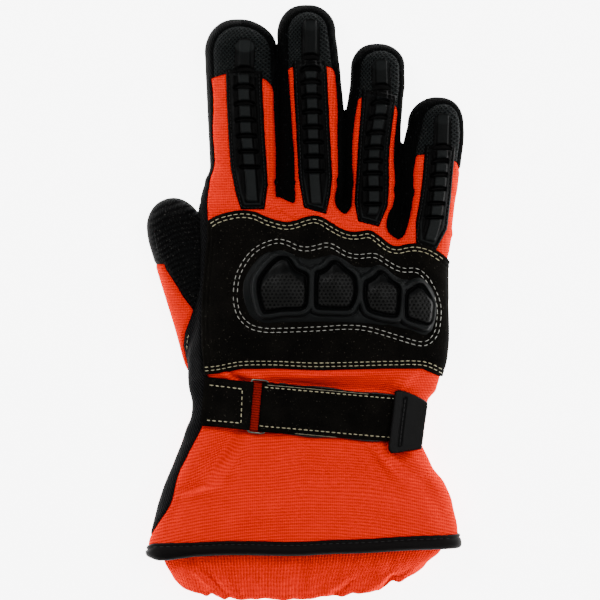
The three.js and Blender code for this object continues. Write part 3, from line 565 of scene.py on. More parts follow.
def add_piece(name, points, faces, material, uv=None, shades=None, replaces=()):
    """Puts a mesh in the scene. uv has two millimetres for each point, and shades has named numbers."""
    mesh = bpy.data.meshes.new(name)
    faces = [tuple(int(i) for i in face) for face in faces]
    mesh.from_pydata((np.asarray(points) * MM).tolist(), [], faces)
    mesh.validate()
    if uv is not None:
        layer = mesh.uv_layers.new(name="cloth")
        loops = np.empty(len(mesh.loops), int)
        mesh.loops.foreach_get("vertex_index", loops)
        layer.data.foreach_set("uv", np.asarray(uv, float)[loops].ravel())
    for key, values in (shades or {}).items():
        attribute = mesh.attributes.new(key, "FLOAT", "POINT")
        attribute.data.foreach_set("value", np.asarray(values, float))
    mesh.shade_smooth()
    mesh.materials.append(material)
    item = bpy.data.objects.new(name, mesh)
    bpy.context.scene.collection.objects.link(item)
    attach(item, "root")
    if replaces:
        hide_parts(*replaces)
    return item


def plan_uv(x, y):
    """Plan coordinates for the two sides of a shell."""
    return np.tile(np.column_stack([x, y]), (2, 1))


# Materials
def linear(*levels):
    """A colour that is given in levels from 0 to 255, as amounts of light."""
    light = [((c / 255 + 0.055) / 1.055) ** 2.4 if c > 10 else c / 255 / 12.92 for c in levels]
    return (*light, 1.0)


class Nodes:
    """Short calls for a material's nodes."""

    def __init__(self, name):
        self.material = bpy.data.materials.new(name)
        self.material.use_nodes = True
        self.tree = self.material.node_tree
        self.shader = self.tree.nodes["Principled BSDF"]

    def node(self, kind, inputs=None, **settings):
        node = self.tree.nodes.new(kind)
        for key, value in settings.items():
            setattr(node, key, value)
        for key, value in (inputs or {}).items():
            if isinstance(value, bpy.types.NodeSocket):
                self.tree.links.new(value, node.inputs[key])
            else:
                node.inputs[key].default_value = value
        return node

    def math(self, operation, a, b=0.0, c=0.0):
        return self.node("ShaderNodeMath", {0: a, 1: b, 2: c}, operation=operation).outputs[0]

    def mix(self, factor, a, b):
        node = self.node("ShaderNodeMix", {"Factor": factor}, data_type="RGBA")
        for socket, value in ((node.inputs[6], a), (node.inputs[7], b)):
            if isinstance(value, bpy.types.NodeSocket):
                self.tree.links.new(value, socket)
            else:
                socket.default_value = value
        return node.outputs[2]

    def cloth_uv(self):
        place = self.node("ShaderNodeUVMap", uv_map="cloth").outputs[0]
        split = self.node("ShaderNodeSeparateXYZ", {0: place})
        return split.outputs[0], split.outputs[1]

    def shade(self, name):
        return self.node("ShaderNodeAttribute", attribute_name=name).outputs["Fac"]

    def noise(self, size_mm, detail=2.0):
        place = self.node("ShaderNodeTexCoord").outputs["Object"]
        inputs = {"Vector": place, "Scale": 1 / MM / size_mm, "Detail": detail}
        return self.node("ShaderNodeTexNoise", inputs).outputs["Fac"]

    def specks(self, size_mm, least):
        """1 in small spots, 0 between them."""
        return self.math("GREATER_THAN", self.noise(size_mm, 0.0), least)

    def ridge(self, coordinate, pitch):
        """0 in a valley to 1 on a rib."""
        wave = self.math("SINE", self.math("MULTIPLY", coordinate, math.tau / pitch))
        return self.math("MULTIPLY_ADD", wave, 0.5, 0.5)

    def finish(self, color, roughness, height=None, depth_mm=0.1, shine=0.5, **settings):
        looks = {"Base Color": color, "Roughness": roughness, "Specular IOR Level": shine, **settings}
        for key, value in looks.items():
            if isinstance(value, bpy.types.NodeSocket):
                self.tree.links.new(value, self.shader.inputs[key])
            else:
                self.shader.inputs[key].default_value = value
        if height is not None:
            inputs = {"Height": height, "Distance": depth_mm * MM, "Strength": 1.0}
            relief = self.node("ShaderNodeBump", inputs)
            self.tree.links.new(relief.outputs[0], self.shader.inputs["Normal"])
        return self.material


BLACK = linear(1, 1, 1)
ORANGE, ORANGE_DEEP, ORANGE_INSIDE = linear(250, 33, 1), linear(190, 9, 0), linear(206, 14, 1)
BAND_ORANGE, BAND_DEEP = linear(158, 20, 3), linear(84, 5, 1)
FINGER_BLACK, CLOTH_LINT = linear(6, 7, 7), linear(60, 62, 64)
SUEDE_PALE, SUEDE_LINT = linear(27, 25, 22), linear(105, 100, 90)
RUBBER_PAINTED_HIGHLIGHT, DOT_GROUND, DOT_TONE = linear(26, 28, 28), linear(31, 31, 30), linear(3, 3, 3)
GRIP_NET, GRIP_RIBS, GRIP_GLINT = linear(22, 25, 25), linear(10, 11, 11), linear(84, 82, 78)


def ribbed_cloth(name, bright, deep, rib, cross, depth=0.22, rib_axis=1):
    """Ribs across one direction of the cloth, crossed by finer threads, with painted shade near the seams.
    """
    n = Nodes(name)
    uv = n.cloth_uv()
    wander = n.math("MULTIPLY_ADD", n.noise(14), 0.5, -0.25)
    ribs = n.ridge(n.math("ADD", uv[rib_axis], wander), rib)
    threads = n.ridge(uv[1 - rib_axis], cross)
    height = n.math("MULTIPLY_ADD", threads, 0.5, ribs)
    relief = n.math("MULTIPLY_ADD", n.noise(0.5, 1.0), 0.25, height)
    tone = n.math("MULTIPLY_ADD", threads, 0.34, n.math("MULTIPLY", ribs, 0.6))
    patchy = n.math("MULTIPLY_ADD", n.noise(9), 0.3, -0.08)
    # Darker near the seams: painted shade in the seam creases.
    mix_with_painted_light = n.math("SUBTRACT", n.math("ADD", tone, patchy), n.math("MULTIPLY", n.shade("seam"), 0.55))
    color = n.mix(n.math("MULTIPLY_ADD", mix_with_painted_light, 0.85, 0.1), deep, bright)
    return n.finish(color, 1.0, relief, depth, shine=0.0)


def dark_cloth(name, pale, pitch, turn, gloss):
    """Black cloth with slanting ribs."""
    n = Nodes(name)
    u, v = n.cloth_uv()
    c, s = math.cos(math.radians(turn)), math.sin(math.radians(turn))
    along = n.math("MULTIPLY_ADD", u, c, n.math("MULTIPLY", v, s))
    across = n.math("MULTIPLY_ADD", v, c, n.math("MULTIPLY", u, -s))
    ribs, threads = n.ridge(along, pitch), n.ridge(across, 1.0)
    height = n.math("MULTIPLY_ADD", threads, 0.45, ribs)
    rib_tone = n.mix(n.shade("finger"), linear(*pale), FINGER_BLACK)
    base = n.mix(n.math("MULTIPLY", height, 0.6), BLACK, rib_tone)
    color = n.mix(n.math("MULTIPLY", n.specks(0.8, 0.76), 0.14), base, CLOTH_LINT)
    return n.finish(color, gloss, height, 0.2, shine=0.03)


def suede_material():
    """Black suede with a nap, paler clouds and a little lint."""
    n = Nodes("suede")
    nap, clouds = n.noise(0.45, 3.0), n.noise(11, 3.0)
    base = n.mix(n.math("MULTIPLY", clouds, nap), BLACK, SUEDE_PALE)
    color = n.mix(n.math("MULTIPLY", n.specks(0.75, 0.785), 0.16), base, SUEDE_LINT)
    return n.finish(color, 0.97, nap, 0.2, shine=0.02)


DOT_PITCH, DOT_RADIUS, DOT_EDGE = 1.95, 0.66, 0.3


def rubber_material(name, tone, rough, shine, dots=False):
    """Moulded rubber, with sunken dots in staggered rows where the mesh asks for them, and painted
    highlights where its pale attribute is set.
    """
    n = Nodes(name)
    grain, smudge = n.noise(0.35, 3.0), n.noise(8, 3.0)
    darker, paler = (linear(*[int(c * share) for c in tone]) for share in (0.75, 1.2))
    base = n.mix(smudge, darker, paler)
    # Painted highlights: paler where the pale attribute is set.
    base = n.mix(n.shade("pale"), base, RUBBER_PAINTED_HIGHLIGHT)
    height, depth = grain, 0.03
    if dots:
        u, v = n.cloth_uv()
        across, down = DOT_PITCH / 2, DOT_PITCH * math.sqrt(3) / 2
        nearest = []
        for shift in (0, 1):
            du = n.math("WRAP", n.math("ADD", u, shift * across), across, -across)
            dv = n.math("WRAP", n.math("ADD", v, shift * down), down, -down)
            squares = n.math("ADD", n.math("POWER", du, 2.0), n.math("POWER", dv, 2.0))
            nearest.append(n.math("SQRT", squares))
        inputs = {0: n.math("MINIMUM", *nearest), 1: -1 / DOT_EDGE, 2: DOT_RADIUS / DOT_EDGE}
        soft = n.node("ShaderNodeMath", inputs, operation="MULTIPLY_ADD", use_clamp=True)
        dot = n.math("MULTIPLY", soft.outputs[0], n.shade("dots"))
        base = n.mix(n.math("MULTIPLY", n.shade("dots"), 0.5), base, DOT_GROUND)
        base = n.mix(n.math("MULTIPLY", dot, 0.92), base, DOT_TONE)
        height, depth = n.math("MULTIPLY_ADD", grain, 0.1, n.math("SUBTRACT", 1.0, dot)), 0.3
    roughness = n.math("MULTIPLY_ADD", smudge, 0.14, rough)
    return n.finish(base, roughness, height, depth, shine)


def grip_material(name, ribs_only=False):
    """Reinforced cloth with a raised net of diamonds, or with curved ribs, and painted glints in pale
    specks.
    """
    n = Nodes(name)
    u, v = n.cloth_uv()
    grit = n.noise(0.6, 2.0)
    glint = n.specks(0.7, 0.75)
    if ribs_only:
        net = n.ridge(n.math("ADD", v, n.math("MULTIPLY_ADD", n.noise(6), 1.5, -0.75)), 2.4)
        beads = n.ridge(n.math("ADD", u, n.math("MULTIPLY", grit, 0.5)), 1.3)
        height = n.math("MULTIPLY", net, n.math("MULTIPLY_ADD", beads, 0.5, 0.5))
        base = n.mix(n.math("POWER", height, 1.6), BLACK, GRIP_RIBS)
    else:
        wander = n.math("MULTIPLY_ADD", n.noise(9), 0.8, -0.4)
        left = n.ridge(n.math("ADD", n.math("ADD", u, v), wander), 2.0)
        right = n.ridge(n.math("ADD", n.math("SUBTRACT", u, v), wander), 2.0)
        height = n.math("POWER", n.math("MAXIMUM", left, right), 1.6)
        base = n.mix(height, BLACK, GRIP_NET)
    # Painted glints: pale specks mixed into the cloth's colour.
    mix_with_painted_light = n.math("MULTIPLY", glint, n.math("MULTIPLY", n.noise(10), 0.4))
    color = n.mix(mix_with_painted_light, base, GRIP_GLINT)
    relief = n.math("MULTIPLY_ADD", grit, 0.45, height)
    return n.finish(color, n.math("MULTIPLY_ADD", grit, 0.3, 0.5), relief, 0.4, shine=0.04)


def plain_material(name, tone, pale, roughness, grain_mm, depth, **settings):
    """Two tones in a fine grain."""
    n = Nodes(name)
    grain = n.noise(grain_mm, 4.0)
    return n.finish(n.mix(grain, linear(*tone), linear(*pale)), roughness, grain, depth, **settings)


def thread_material(name, tone, pale, grain_mm=0.5):
    """Twisted thread with a soft sheen."""
    return plain_material(name, tone, pale, 0.8, grain_mm, 0.08)


orange_hand = ribbed_cloth("orange_hand_cloth", ORANGE, ORANGE_DEEP, 1.25, 1.0)
orange_cuff = ribbed_cloth("orange_cuff_cloth", ORANGE, ORANGE_DEEP, 1.5, 0.95, depth=0.28)
orange_inner = ribbed_cloth("orange_inner_cloth", ORANGE, ORANGE_INSIDE, 1.5, 0.9, depth=0.36, rib_axis=0)
orange_band = ribbed_cloth("orange_webbing", BAND_ORANGE, BAND_DEEP, 1.2, 0.7, depth=0.3)
black_cloth = dark_cloth("black_cloth", (24, 24, 25), pitch=1.3, turn=35, gloss=0.75)
fourchette_cloth = dark_cloth("fourchette_cloth", (5, 5, 5), pitch=1.1, turn=0, gloss=0.95)
palm_leather = plain_material("palm_leather", (8, 8, 8), (20, 20, 21), 0.7, 0.8, 0.12, shine=0.1)
suede = suede_material()
rubber = rubber_material("moulded_rubber", tone=(3, 3, 3), rough=0.42, shine=0.03)
dotted_rubber = rubber_material("dotted_rubber", tone=(8, 9, 9), rough=0.34, shine=0.05, dots=True)
tab_rubber = rubber_material("tab_rubber", tone=(12, 12, 12), rough=0.4, shine=0.07)
grip_cloth = grip_material("grip_texture")
thumb_cloth_black = grip_material("thumb_grip_texture", ribs_only=True)
binding_material = plain_material("binding", (6, 5, 5), (13, 10, 10), 0.6, 0.6, 0.05, shine=0.05)
steel = plain_material("steel_wire", (98, 101, 94), (134, 137, 128), 0.3, 1.5, 0.01, Metallic=1.0)
thread = thread_material("cream_thread", (128, 122, 92), (186, 180, 148))
grey_thread = thread_material("grey_thread", (112, 112, 106), (180, 180, 172))
black_thread = thread_material("black_thread", (2, 2, 2), (6, 6, 6), grain_mm=0.3)
guard_thread = plain_material("guard_thread", (20, 21, 21), (44, 45, 45), 0.7, 0.4, 0.06, shine=0.1)
# A pale thread that stands in for a highlight along the strap's edges: painted highlight.
highlight_thread = thread_material("highlight_thread", (88, 86, 70), (140, 136, 112))
hook_tape = plain_material("hook_tape", (6, 6, 6), (40, 40, 42), 0.3, 0.7, 0.2)

# Panel outlines in plan
STRIP_EDGE_PX = [
    (211, 176), (208.5, 188), (207.2, 203.5), (207.6, 216), (208, 240), (206, 262), (203.5, 290),
    (202.3, 320), (202.8, 350), (204.5, 368), (208.4, 379), (208.5, 386), (206.8, 404), (203.4, 422),
    (200.4, 430), (195.2, 440), (189.8, 450), (185, 460), (179.8, 470), (176.6, 480), (174.6, 490),
    (172.2, 500), (167, 510), (160, 520), (153.5, 530), (147, 540), (138, 552), (128, 575),
]
WRIST_SEAM = -53
HEM = {"y": -113.8, "slope": 0.043, "turn": 2.0}
CROTCHES = [
    rounded(line_px(outline), 60)
    for outline in (
        [
            (276.4, 180), (276.3, 186), (278, 194.5), (284.4, 199.6), (293.3, 203.7), (295, 200),
            (294.4, 187), (294.2, 180),
        ],
        [
            (338, 178), (337.6, 187), (335.4, 195.8), (336, 204.7), (340.5, 211), (344.8, 213.8),
            (349, 210), (351, 203), (351.5, 193), (352, 180),
        ],
        [
            (395.4, 186), (395.2, 197), (393.3, 205.5), (388.5, 214), (386.3, 223.6), (387.3, 231),
            (392, 236.4), (399.4, 239.4), (404.2, 234.5), (407.3, 224.8), (409, 216.4), (411.5, 203),
            (412.7, 188),
        ],
    )
]
KNUCKLE_UPPER = [
    (-46.6, 38.4), (-43, 40.6), (-38, 42.3), (-31, 43.5), (-24, 42.8), (-17.5, 40), (-10.5, 38), (-6, 38.2),
    (0, 40.2), (4, 41), (8.5, 40), (14, 36.6), (20, 33.6), (25, 33.2), (30, 34), (34, 32.4), (40, 27.6),
    (44, 26.4), (49, 27.4), (54, 27.6), (60, 26), (65.5, 22.8), (69.5, 19), (72, 17),
]
KNUCKLE_LOWER = [
    (72, -38.4), (65.5, -36.3), (56, -32.2), (40, -32), (6, -32.8), (-14, -32), (-30, -32.2), (-41, -34.2),
    (-48, -35),
]

# Where the orange cloth of the hand ends and that of the fingers begins
ROOT_LINE = np.array([(-50, 52), (-12, 50), (-8, 48), (20, 48), (24, 40), (46, 38), (50, 34), (75, 32)])
ROOT_OVERLAP = 9

for finger in FINGERS.values():
    for border in ("cloth_left", "cloth_right"):
        finger[border] = edge_px(finger[border])
    finger["seam"] = line_px(finger["seam"])
strip_edge = edge_px(STRIP_EDGE_PX)


def seam_distance(name, x, y):
    """Negative below the cap's seam."""
    seam = FINGERS[name]["seam"]
    return y - np.interp(x, *seam.T)


def finger_cloth_distance(name, x, y):
    """The orange cloth along one finger, negative inside."""
    finger = FINGERS[name]
    sides = np.maximum(finger["cloth_left"](y) - x, x - finger["cloth_right"](y))
    return np.maximum(sides, seam_distance(name, x, y))


def strip_distance(x, y):
    """Positive on the thumb side of the black strip's edge."""
    return strip_edge(y) - x


def cloth_distance(x, y):
    """The orange cloth of the hand's back and the fingers, negative inside."""
    root_line = np.interp(x, *ROOT_LINE.T)
    fingers = np.full(x.shape, np.inf)
    for name in FINGERS:
        fingers = np.minimum(fingers, finger_cloth_distance(name, x, y))
    fingers = np.maximum(fingers, root_line - ROOT_OVERLAP - y)
    roots = np.maximum(y - root_line, strip_distance(x, y))
    crotch = np.full(x.shape, np.inf)
    for outline in CROTCHES:
        crotch = np.minimum(crotch, outline_distance(x, y, outline))
    return np.maximum(np.minimum(fingers, roots), -crotch)


def cap_distance(name, x, y):
    """A fingertip's cap, negative inside."""
    finger = FINGERS[name]
    left_rim, right_rim, top_rim = finger["cap_rims"]
    reach = finger["tip"] - finger["end"] - top_rim
    beyond = np.maximum(y - finger["end"], 0) / reach
    lean = finger["lean"] * np.clip(beyond, 0, 1) ** 2
    left = finger["sides"]["left"](y) + left_rim
    right = finger["sides"]["right"](y) - right_rim
    middle, half = (left + right) / 2 + lean, (right - left) / 2
    inside = (np.sqrt(((x - middle) / half) ** 2 + beyond**2) - 1) * half
    return np.maximum(inside, -seam_distance(name, x, y))


THUMB_EDGE = line_px(
    [
        (199.4, 170), (199.4, 288), (193.6, 309), (189.4, 321), (184.2, 334), (182.6, 346), (186, 362),
        (187.6, 372), (90, 372), (90, 170),
    ],
)
THUMB_CLOTH = line_px(
    [
        (120, 264), (156, 264.4), (163.7, 264.5), (165.7, 269.6), (173.9, 281.8), (183, 297),
        (190.2, 306.3), (200, 320), (200, 380), (120, 380),
    ],
)
HEM_DRIFT = np.array([(-76, 1.2), (-60, 1.6), (-42, 1.7), (-20, 0.8), (0, -0.2), (40, 0.0), (76, -0.4)])


def hem_distance(x, y):
    """Positive on the hand's side of the cuff's bound edge."""
    return y - HEM["y"] - HEM["slope"] * x


def hem_wave(x):
    """How the bound edge wanders."""
    return np.interp(x, *HEM_DRIFT.T) + 0.15 * np.sin(x / 6.5)


# The cloth body, cut into its panels
LOW_CORNER, HIGH_CORNER = (-82, -127, -3), (82, 146, 34)
body = Patch(*surface_mesh(glove_distance, LOW_CORNER, HIGH_CORNER, PITCH))
body.points = settle(body.points, glove_distance)
PANEL_SIDE_PX = (224, 372)  # the panel follows the strip's edge between these heights of the photo
panel_side = line_px([p for p in STRIP_EDGE_PX if PANEL_SIDE_PX[0] < p[1] < PANEL_SIDE_PX[1]])
panel_outline = np.vstack([rounded(KNUCKLE_UPPER, 120, closed=False), KNUCKLE_LOWER, panel_side[::-1]])
body.cut("upper", lambda x, y, z: SEAM_HEIGHT - z)
body.cut("thumb", lambda x, y, z: outline_distance(x, y, THUMB_EDGE))
body.cut("thumb_cloth", lambda x, y, z: outline_distance(x, y, THUMB_CLOTH))
body.cut("cloth", lambda x, y, z: cloth_distance(x, y))
body.cut("cuff", lambda x, y, z: y - WRIST_SEAM)
body.cut("beyond_hem", lambda x, y, z: hem_distance(x, y) + HEM["turn"])
body.cut("strip", lambda x, y, z: -strip_distance(x, y))
body.cut("knuckle", lambda x, y, z: outline_distance(x, y, panel_outline))
for name, finger in FINGERS.items():
    body.cut("cap_" + name, lambda x, y, z, name=name: cap_distance(name, x, y))
    body.cut("right_of_" + name, lambda x, y, z, finger=finger: finger["middle"] - x)

side = body.sides
upper, on_thumb = side["upper"], side["thumb"]
label = np.full(len(body.faces), "thumb_side_strip", dtype=object)
WALLS = ("fourchette_index_middle", "fourchette_middle_ring", "fourchette_ring_little", "little_side_strip")
for name, wall in zip(FINGERS, WALLS):
    label[side["right_of_" + name]] = wall
for name in FINGERS:
    label[side["cap_" + name]] = "fingertip_cap_" + name
label[side["cloth"] & ~side["cuff"]] = "back_cloth"
label[side["cuff"] & ~side["strip"]] = "cuff_back"
label[side["cuff"] & side["strip"]] = "thumb_side_strip"
label[~upper & ~side["cuff"]] = "palm_panel"
label[~upper & side["cuff"]] = "cuff_palm"
label[on_thumb] = "thumb_grip"
label[on_thumb & side["thumb_cloth"] & upper] = "thumb_cloth"
label[side["beyond_hem"]] = ""

normals = slope_of(glove_distance, body.points)
group = label.copy()
for name in WALLS:
    group[group == name] = "thumb_side_strip"
edge_points = [np.unique(border_edges(body.faces[group == name])) for name in sorted(set(group))]
edge_points = np.unique(np.concatenate(edge_points))
seam_gap = distance_to_points(body.points, body.points[edge_points])
x, y, z = body.points.T
CREASE, PUFF = 0.5, 0.25  # how deep the cloth sinks at a seam, and how far it swells between seams
crease = CREASE * bump(seam_gap, 1.0)
puff = PUFF * waves(x + 0.5 * z, y, 9, 15) * ramp(seam_gap, 1, 6) * ramp(z, 6, 12)
outer = body.points + normals * (puff - crease)[:, None]
inner = outer - normals * CLOTH
# How much painted shade the cloth gets near a seam, most at the seam itself; the orange cloth darkens by it.
seam_shade = np.exp(-seam_gap)
on_finger = ramp(y, 34, 62)

# How the weave runs over each part, in millimetres along and across it
drift = 0.55 * all_folds(x, y) * ramp(z, 10, 20)
arch = y + (x - 6) ** 2 / 520 + 0.02 * x
weave_plain = np.column_stack([x + 0.6 * z, y + drift + 0.4 * waves(x, y, 77, 40)])
weave_cuff = np.column_stack([x + 0.5 * drift, arch + drift])
along_thumb, across_thumb = thumb_axes(x, y)
weave_thumb = np.column_stack([across_thumb + 0.8 * z, along_thumb + across_thumb**2 / 44 + 0.5 * z])

PANEL_LOOKS = {
    "palm_panel": (palm_leather, weave_plain),
    "cuff_palm": (orange_cuff, weave_cuff),
    "back_cloth": (orange_hand, weave_plain),
    "cuff_back": (orange_cuff, weave_cuff),
    "thumb_side_strip": (black_cloth, weave_plain),
    **{wall: (fourchette_cloth, weave_plain) for wall in WALLS},
    "thumb_cloth": (orange_hand, weave_plain),
    "thumb_grip": (thumb_cloth_black, weave_thumb),
}
for name in sorted(set(label) - {""}):
    material, weave = PANEL_LOOKS.get(name, (grip_cloth, weave_plain))
    part = body.faces[label == name]
    used = np.unique(part)
    _, part_faces = compact(outer, part)
    points, faces = thickened(outer[used], inner[used], part_faces)
    shades = {"seam": np.tile(seam_shade[used], 2), "finger": np.tile(on_finger[used], 2)}
    add_piece("visual_" + name, points, faces, material, np.vstack([weave[used]] * 2), shades, [name])

# What lies under a point in plan
tree = BVHTree.FromPolygons(outer.tolist(), body.faces[(label != "")].tolist())


def height_at(x, y, surfaces=None):
    """Height of the surface over each point in plan."""
    surfaces = surfaces or [tree]
    heights = []
    for px, py in zip(np.ravel(x), np.ravel(y)):
        hits = [surface.ray_cast(Vector((px, py, 90)), Vector((0, 0, -1)))[0] for surface in surfaces]
        heights.append(max((hit.z for hit in hits if hit), default=0.0))
    return np.reshape(heights, np.shape(x))


def smoothed(heights, rounds):
    """Evens out a grid of heights."""
    for _ in range(rounds):
        padded = np.pad(heights, 1, mode="edge")
        around = padded[:-2, 1:-1] + padded[2:, 1:-1] + padded[1:-1, :-2] + padded[1:-1, 2:]
        heights = (around + 2 * heights) / 6
    return heights


def tree_of(item):
    """A piece of the scene, ready to be looked down on."""
    points = np.empty(len(item.data.vertices) * 3)
    item.data.vertices.foreach_get("co", points)
    points = points.reshape(-1, 3) / MM
    return BVHTree.FromPolygons(points.tolist(), [tuple(p.vertices) for p in item.data.polygons])


# The suede panel over the back of the hand
SUEDE_THICKNESS, SUEDE_EDGE, SUEDE_UNDER = 1.35, 0.9, 0.2
SUNK_ROWS, SUNK_DEPTH = (1.9, 3.7), 0.3  # where the stitches pull the panel in


def rounded_edge(depth, radius):
    """0 at an edge, rising to 1 over a quarter circle."""
    return np.sqrt(np.clip(1 - (1 - np.clip(depth / radius, 0, 1)) ** 2, 0, 1))


def suede_panel():
    """The panel's pad, rounded at its edge and drawn in along its stitches."""
    mask = side["knuckle"] & upper & ~on_thumb & (label != "")
    points, faces = body.refined(mask)
    points = settle(points, glove_distance, 2)
    normal = slope_of(glove_distance, points)
    x, y, z = points.T
    depth = -outline_distance(x, y, panel_outline)
    thick = SUEDE_THICKNESS * rounded_edge(depth, SUEDE_EDGE)
    for row in SUNK_ROWS:
        thick = thick - SUNK_DEPTH * bump(depth - row, 0.45) * ramp(z, 8, 12)
    thick = thick + 0.12 * waves(x, y, 3, 12) * ramp(depth, 4, 9)
    thick = thick - 0.35 * bump(y - 32.6 - 0.11 * (x + 26), 0.7) * ramp(-x, 22, 30)
    outer = points + normal * (SUEDE_UNDER + np.maximum(thick, 0.05))[:, None]
    inner = points - normal * SUEDE_UNDER
    points, faces = thickened(outer, inner, faces)
    return add_piece("visual_knuckle_panel", points, faces, suede, plan_uv(x, y), replaces=["knuckle_panel"])


panel_tree = tree_of(suede_panel())

# Moulded guards, each a height map over a grid in its own axes
GUARD_EDGE = [
    (-30, 5.5), (-29.2, 11), (-25.6, 17.4), (-19.5, 23.2), (-13, 25), (-6.5, 23.6), (-1.5, 21.4), (2, 20.6),
    (6, 21.2), (12, 22.8), (16.5, 21.6), (21.5, 18.6), (25, 17.2), (29, 17), (34.5, 18.2), (38, 17),
    (42, 13.4), (45.5, 11.6), (49.5, 11.4), (54, 12), (58, 10.2), (62, 4.6), (63.4, -3), (62.4, -11),
    (59.6, -16), (55.6, -16.4), (50, -14.2), (43.5, -12.7), (36, -11.7), (29.5, -11), (15, -10.4),
    (1.5, -10.3), (-10, -10.5), (-19.5, -10.6), (-25.8, -8), (-28.8, -2.2),
]
STITCH_CONTOUR_PX = [
    (233.9, 293.3), (236.1, 277), (242, 264), (250.8, 252.3), (262.5, 244.2), (277.2, 239.8), (288.9, 242),
    (296.3, 245.7), (306, 247.6), (316.8, 245.7), (325, 243.6), (333, 245), (340.3, 249.3), (348, 253.4),
    (357.9, 255), (368.2, 254), (377, 254.8), (385.8, 260.3), (396, 266.4), (404.8, 268.6), (413.6, 268.4),
    (421, 271.4), (428.3, 278.7), (434.2, 288.9), (438.6, 299.2), (440.4, 309), (440, 319.7), (438, 331.5),
    (433, 340), (425.4, 345), (415.1, 344.7), (396, 339), (375.5, 332.8), (359.4, 329.6), (343.2, 329),
    (322.7, 330.3), (302.1, 331.3), (281.6, 332), (264, 331.8), (249.3, 327.6), (239.1, 317.8),
    (234.8, 306),
]
POCKETS_PX = [
    [
        (258.9, 281.6), (261, 276.5), (266.9, 268.4), (273, 262), (278.7, 258.1), (284, 257), (288.9, 259),
        (294.8, 268.4), (300, 271.5), (305.8, 274.3), (307.5, 280), (306.5, 303), (303.5, 308),
        (299.2, 309.5), (284, 310), (268.4, 312.4), (264, 311.5), (261, 304), (258.5, 292),
    ],
    [
        (316.1, 274.3), (320, 271.8), (325.6, 268.4), (330, 263.5), (334, 261.4), (338.8, 262.5),
        (342, 266), (346.2, 270.6), (351, 274.4), (354.2, 278.7), (355.7, 290.4), (354.2, 299.2),
        (351.5, 305), (347.6, 308.7), (333, 308.7), (318.3, 308), (315.8, 305.5), (315.3, 300),
    ],
    [
        (364.5, 283), (368, 280), (372.6, 277.2), (377, 272.6), (380.6, 271.3), (385.8, 274.3),
        (390.2, 280.1), (398.2, 287.5), (398.6, 300), (396.8, 313.9), (393.1, 316.1), (384, 315.2),
        (375.5, 313.1), (370, 311), (366.7, 308), (363.8, 296.3),
    ],
    [
        (405.6, 291.9), (409, 289.5), (413.6, 286), (417, 284.2), (421, 284.5), (424, 287.5),
        (426.8, 291.9), (432.7, 302.1), (432.8, 312), (431.2, 321.2), (426.8, 324.9), (416, 322),
        (406.3, 318.3), (404.8, 313.9), (404.6, 301),
    ],
]


def grid_faces(rows, columns):
    """Triangles over a grid of points."""
    index = np.arange(rows * columns).reshape(rows, columns)
    a, b, c, d = (part.ravel() for part in (index[:-1, :-1], index[1:, :-1], index[1:, 1:], index[:-1, 1:]))
    return np.vstack([np.stack([a, b, c], 1), np.stack([a, c, d], 1)])


def flat_patch(low, high, pitch, inside, *layers):
    """A grid in a piece's own axes, cut to what is inside. Each layer gives a number for each point."""
    s, t = np.meshgrid(*(np.arange(a, b, pitch) for a, b in zip(low, high)), indexing="ij")
    values = [s, t] + [layer(s, t) for layer in layers]
    patch = Patch(np.column_stack([value.ravel() for value in values]), grid_faces(*s.shape))
    patch.cut("inside", lambda s, t, *rest: inside(s, t))
    points, faces = compact(patch.points, patch.faces[patch.sides["inside"]])
    return points.T, faces


SOFT_ROUNDS = 26  # how often a soft part of a guard is evened out


def height_piece(name, shape, pitch, place, inside, lift, material, even, shades, sink, soften=None):
    """A solid whose top is lift above the cloth. shape is its length and half width in its own axes,
    even says how often the cloth's height under it is evened out, and sink how far it reaches down."""
    length, half = shape

    def ground(s, t):
        return smoothed(height_at(*place(s, t)), even)

    def height(s, t):
        rise = lift(s, t)
        if soften:
            share = soften(s, t)
            rise = smoothed(rise * (1 - share) + smoothed(rise, SOFT_ROUNDS) * share, 1)
        return rise

    edge = 1 + pitch
    low, high = (-1, -half - 1), (length + edge, half + edge)
    (s, t, base, rise), faces = flat_patch(low, high, pitch, inside, ground, height)
    x, y = place(s, t)
    top = np.column_stack([x, y, base + rise])
    bottom = np.column_stack([x, y, base - sink])
    a, b, c = top[faces[0]]
    if np.cross(b - a, c - a)[2] < 0:
        faces = faces[:, ::-1]
    points, faces = thickened(top, bottom, faces)
    named = {key: np.tile(value(s, t), 2) for key, value in shades.items()}
    return add_piece("visual_" + name, points, faces, material, plan_uv(x, y), named, [name])


# How far up each dome its dots reach, over x
DOTTED_CROWN = np.array([
    (-22, 6), (-17, 11.5), (-12, 13), (-7, 13.4), (0, 7.5), (5, 9), (13, 13.4), (20, 13.8), (24, 8),
    (28, 3.5), (36, 8.8), (42, 8), (45, 4), (48, 1), (55, 4.8), (61, 1),
])
GUARD_LENGTH, GUARD_HALF, GUARD_CORNER = 97, 24, (-32, 4)


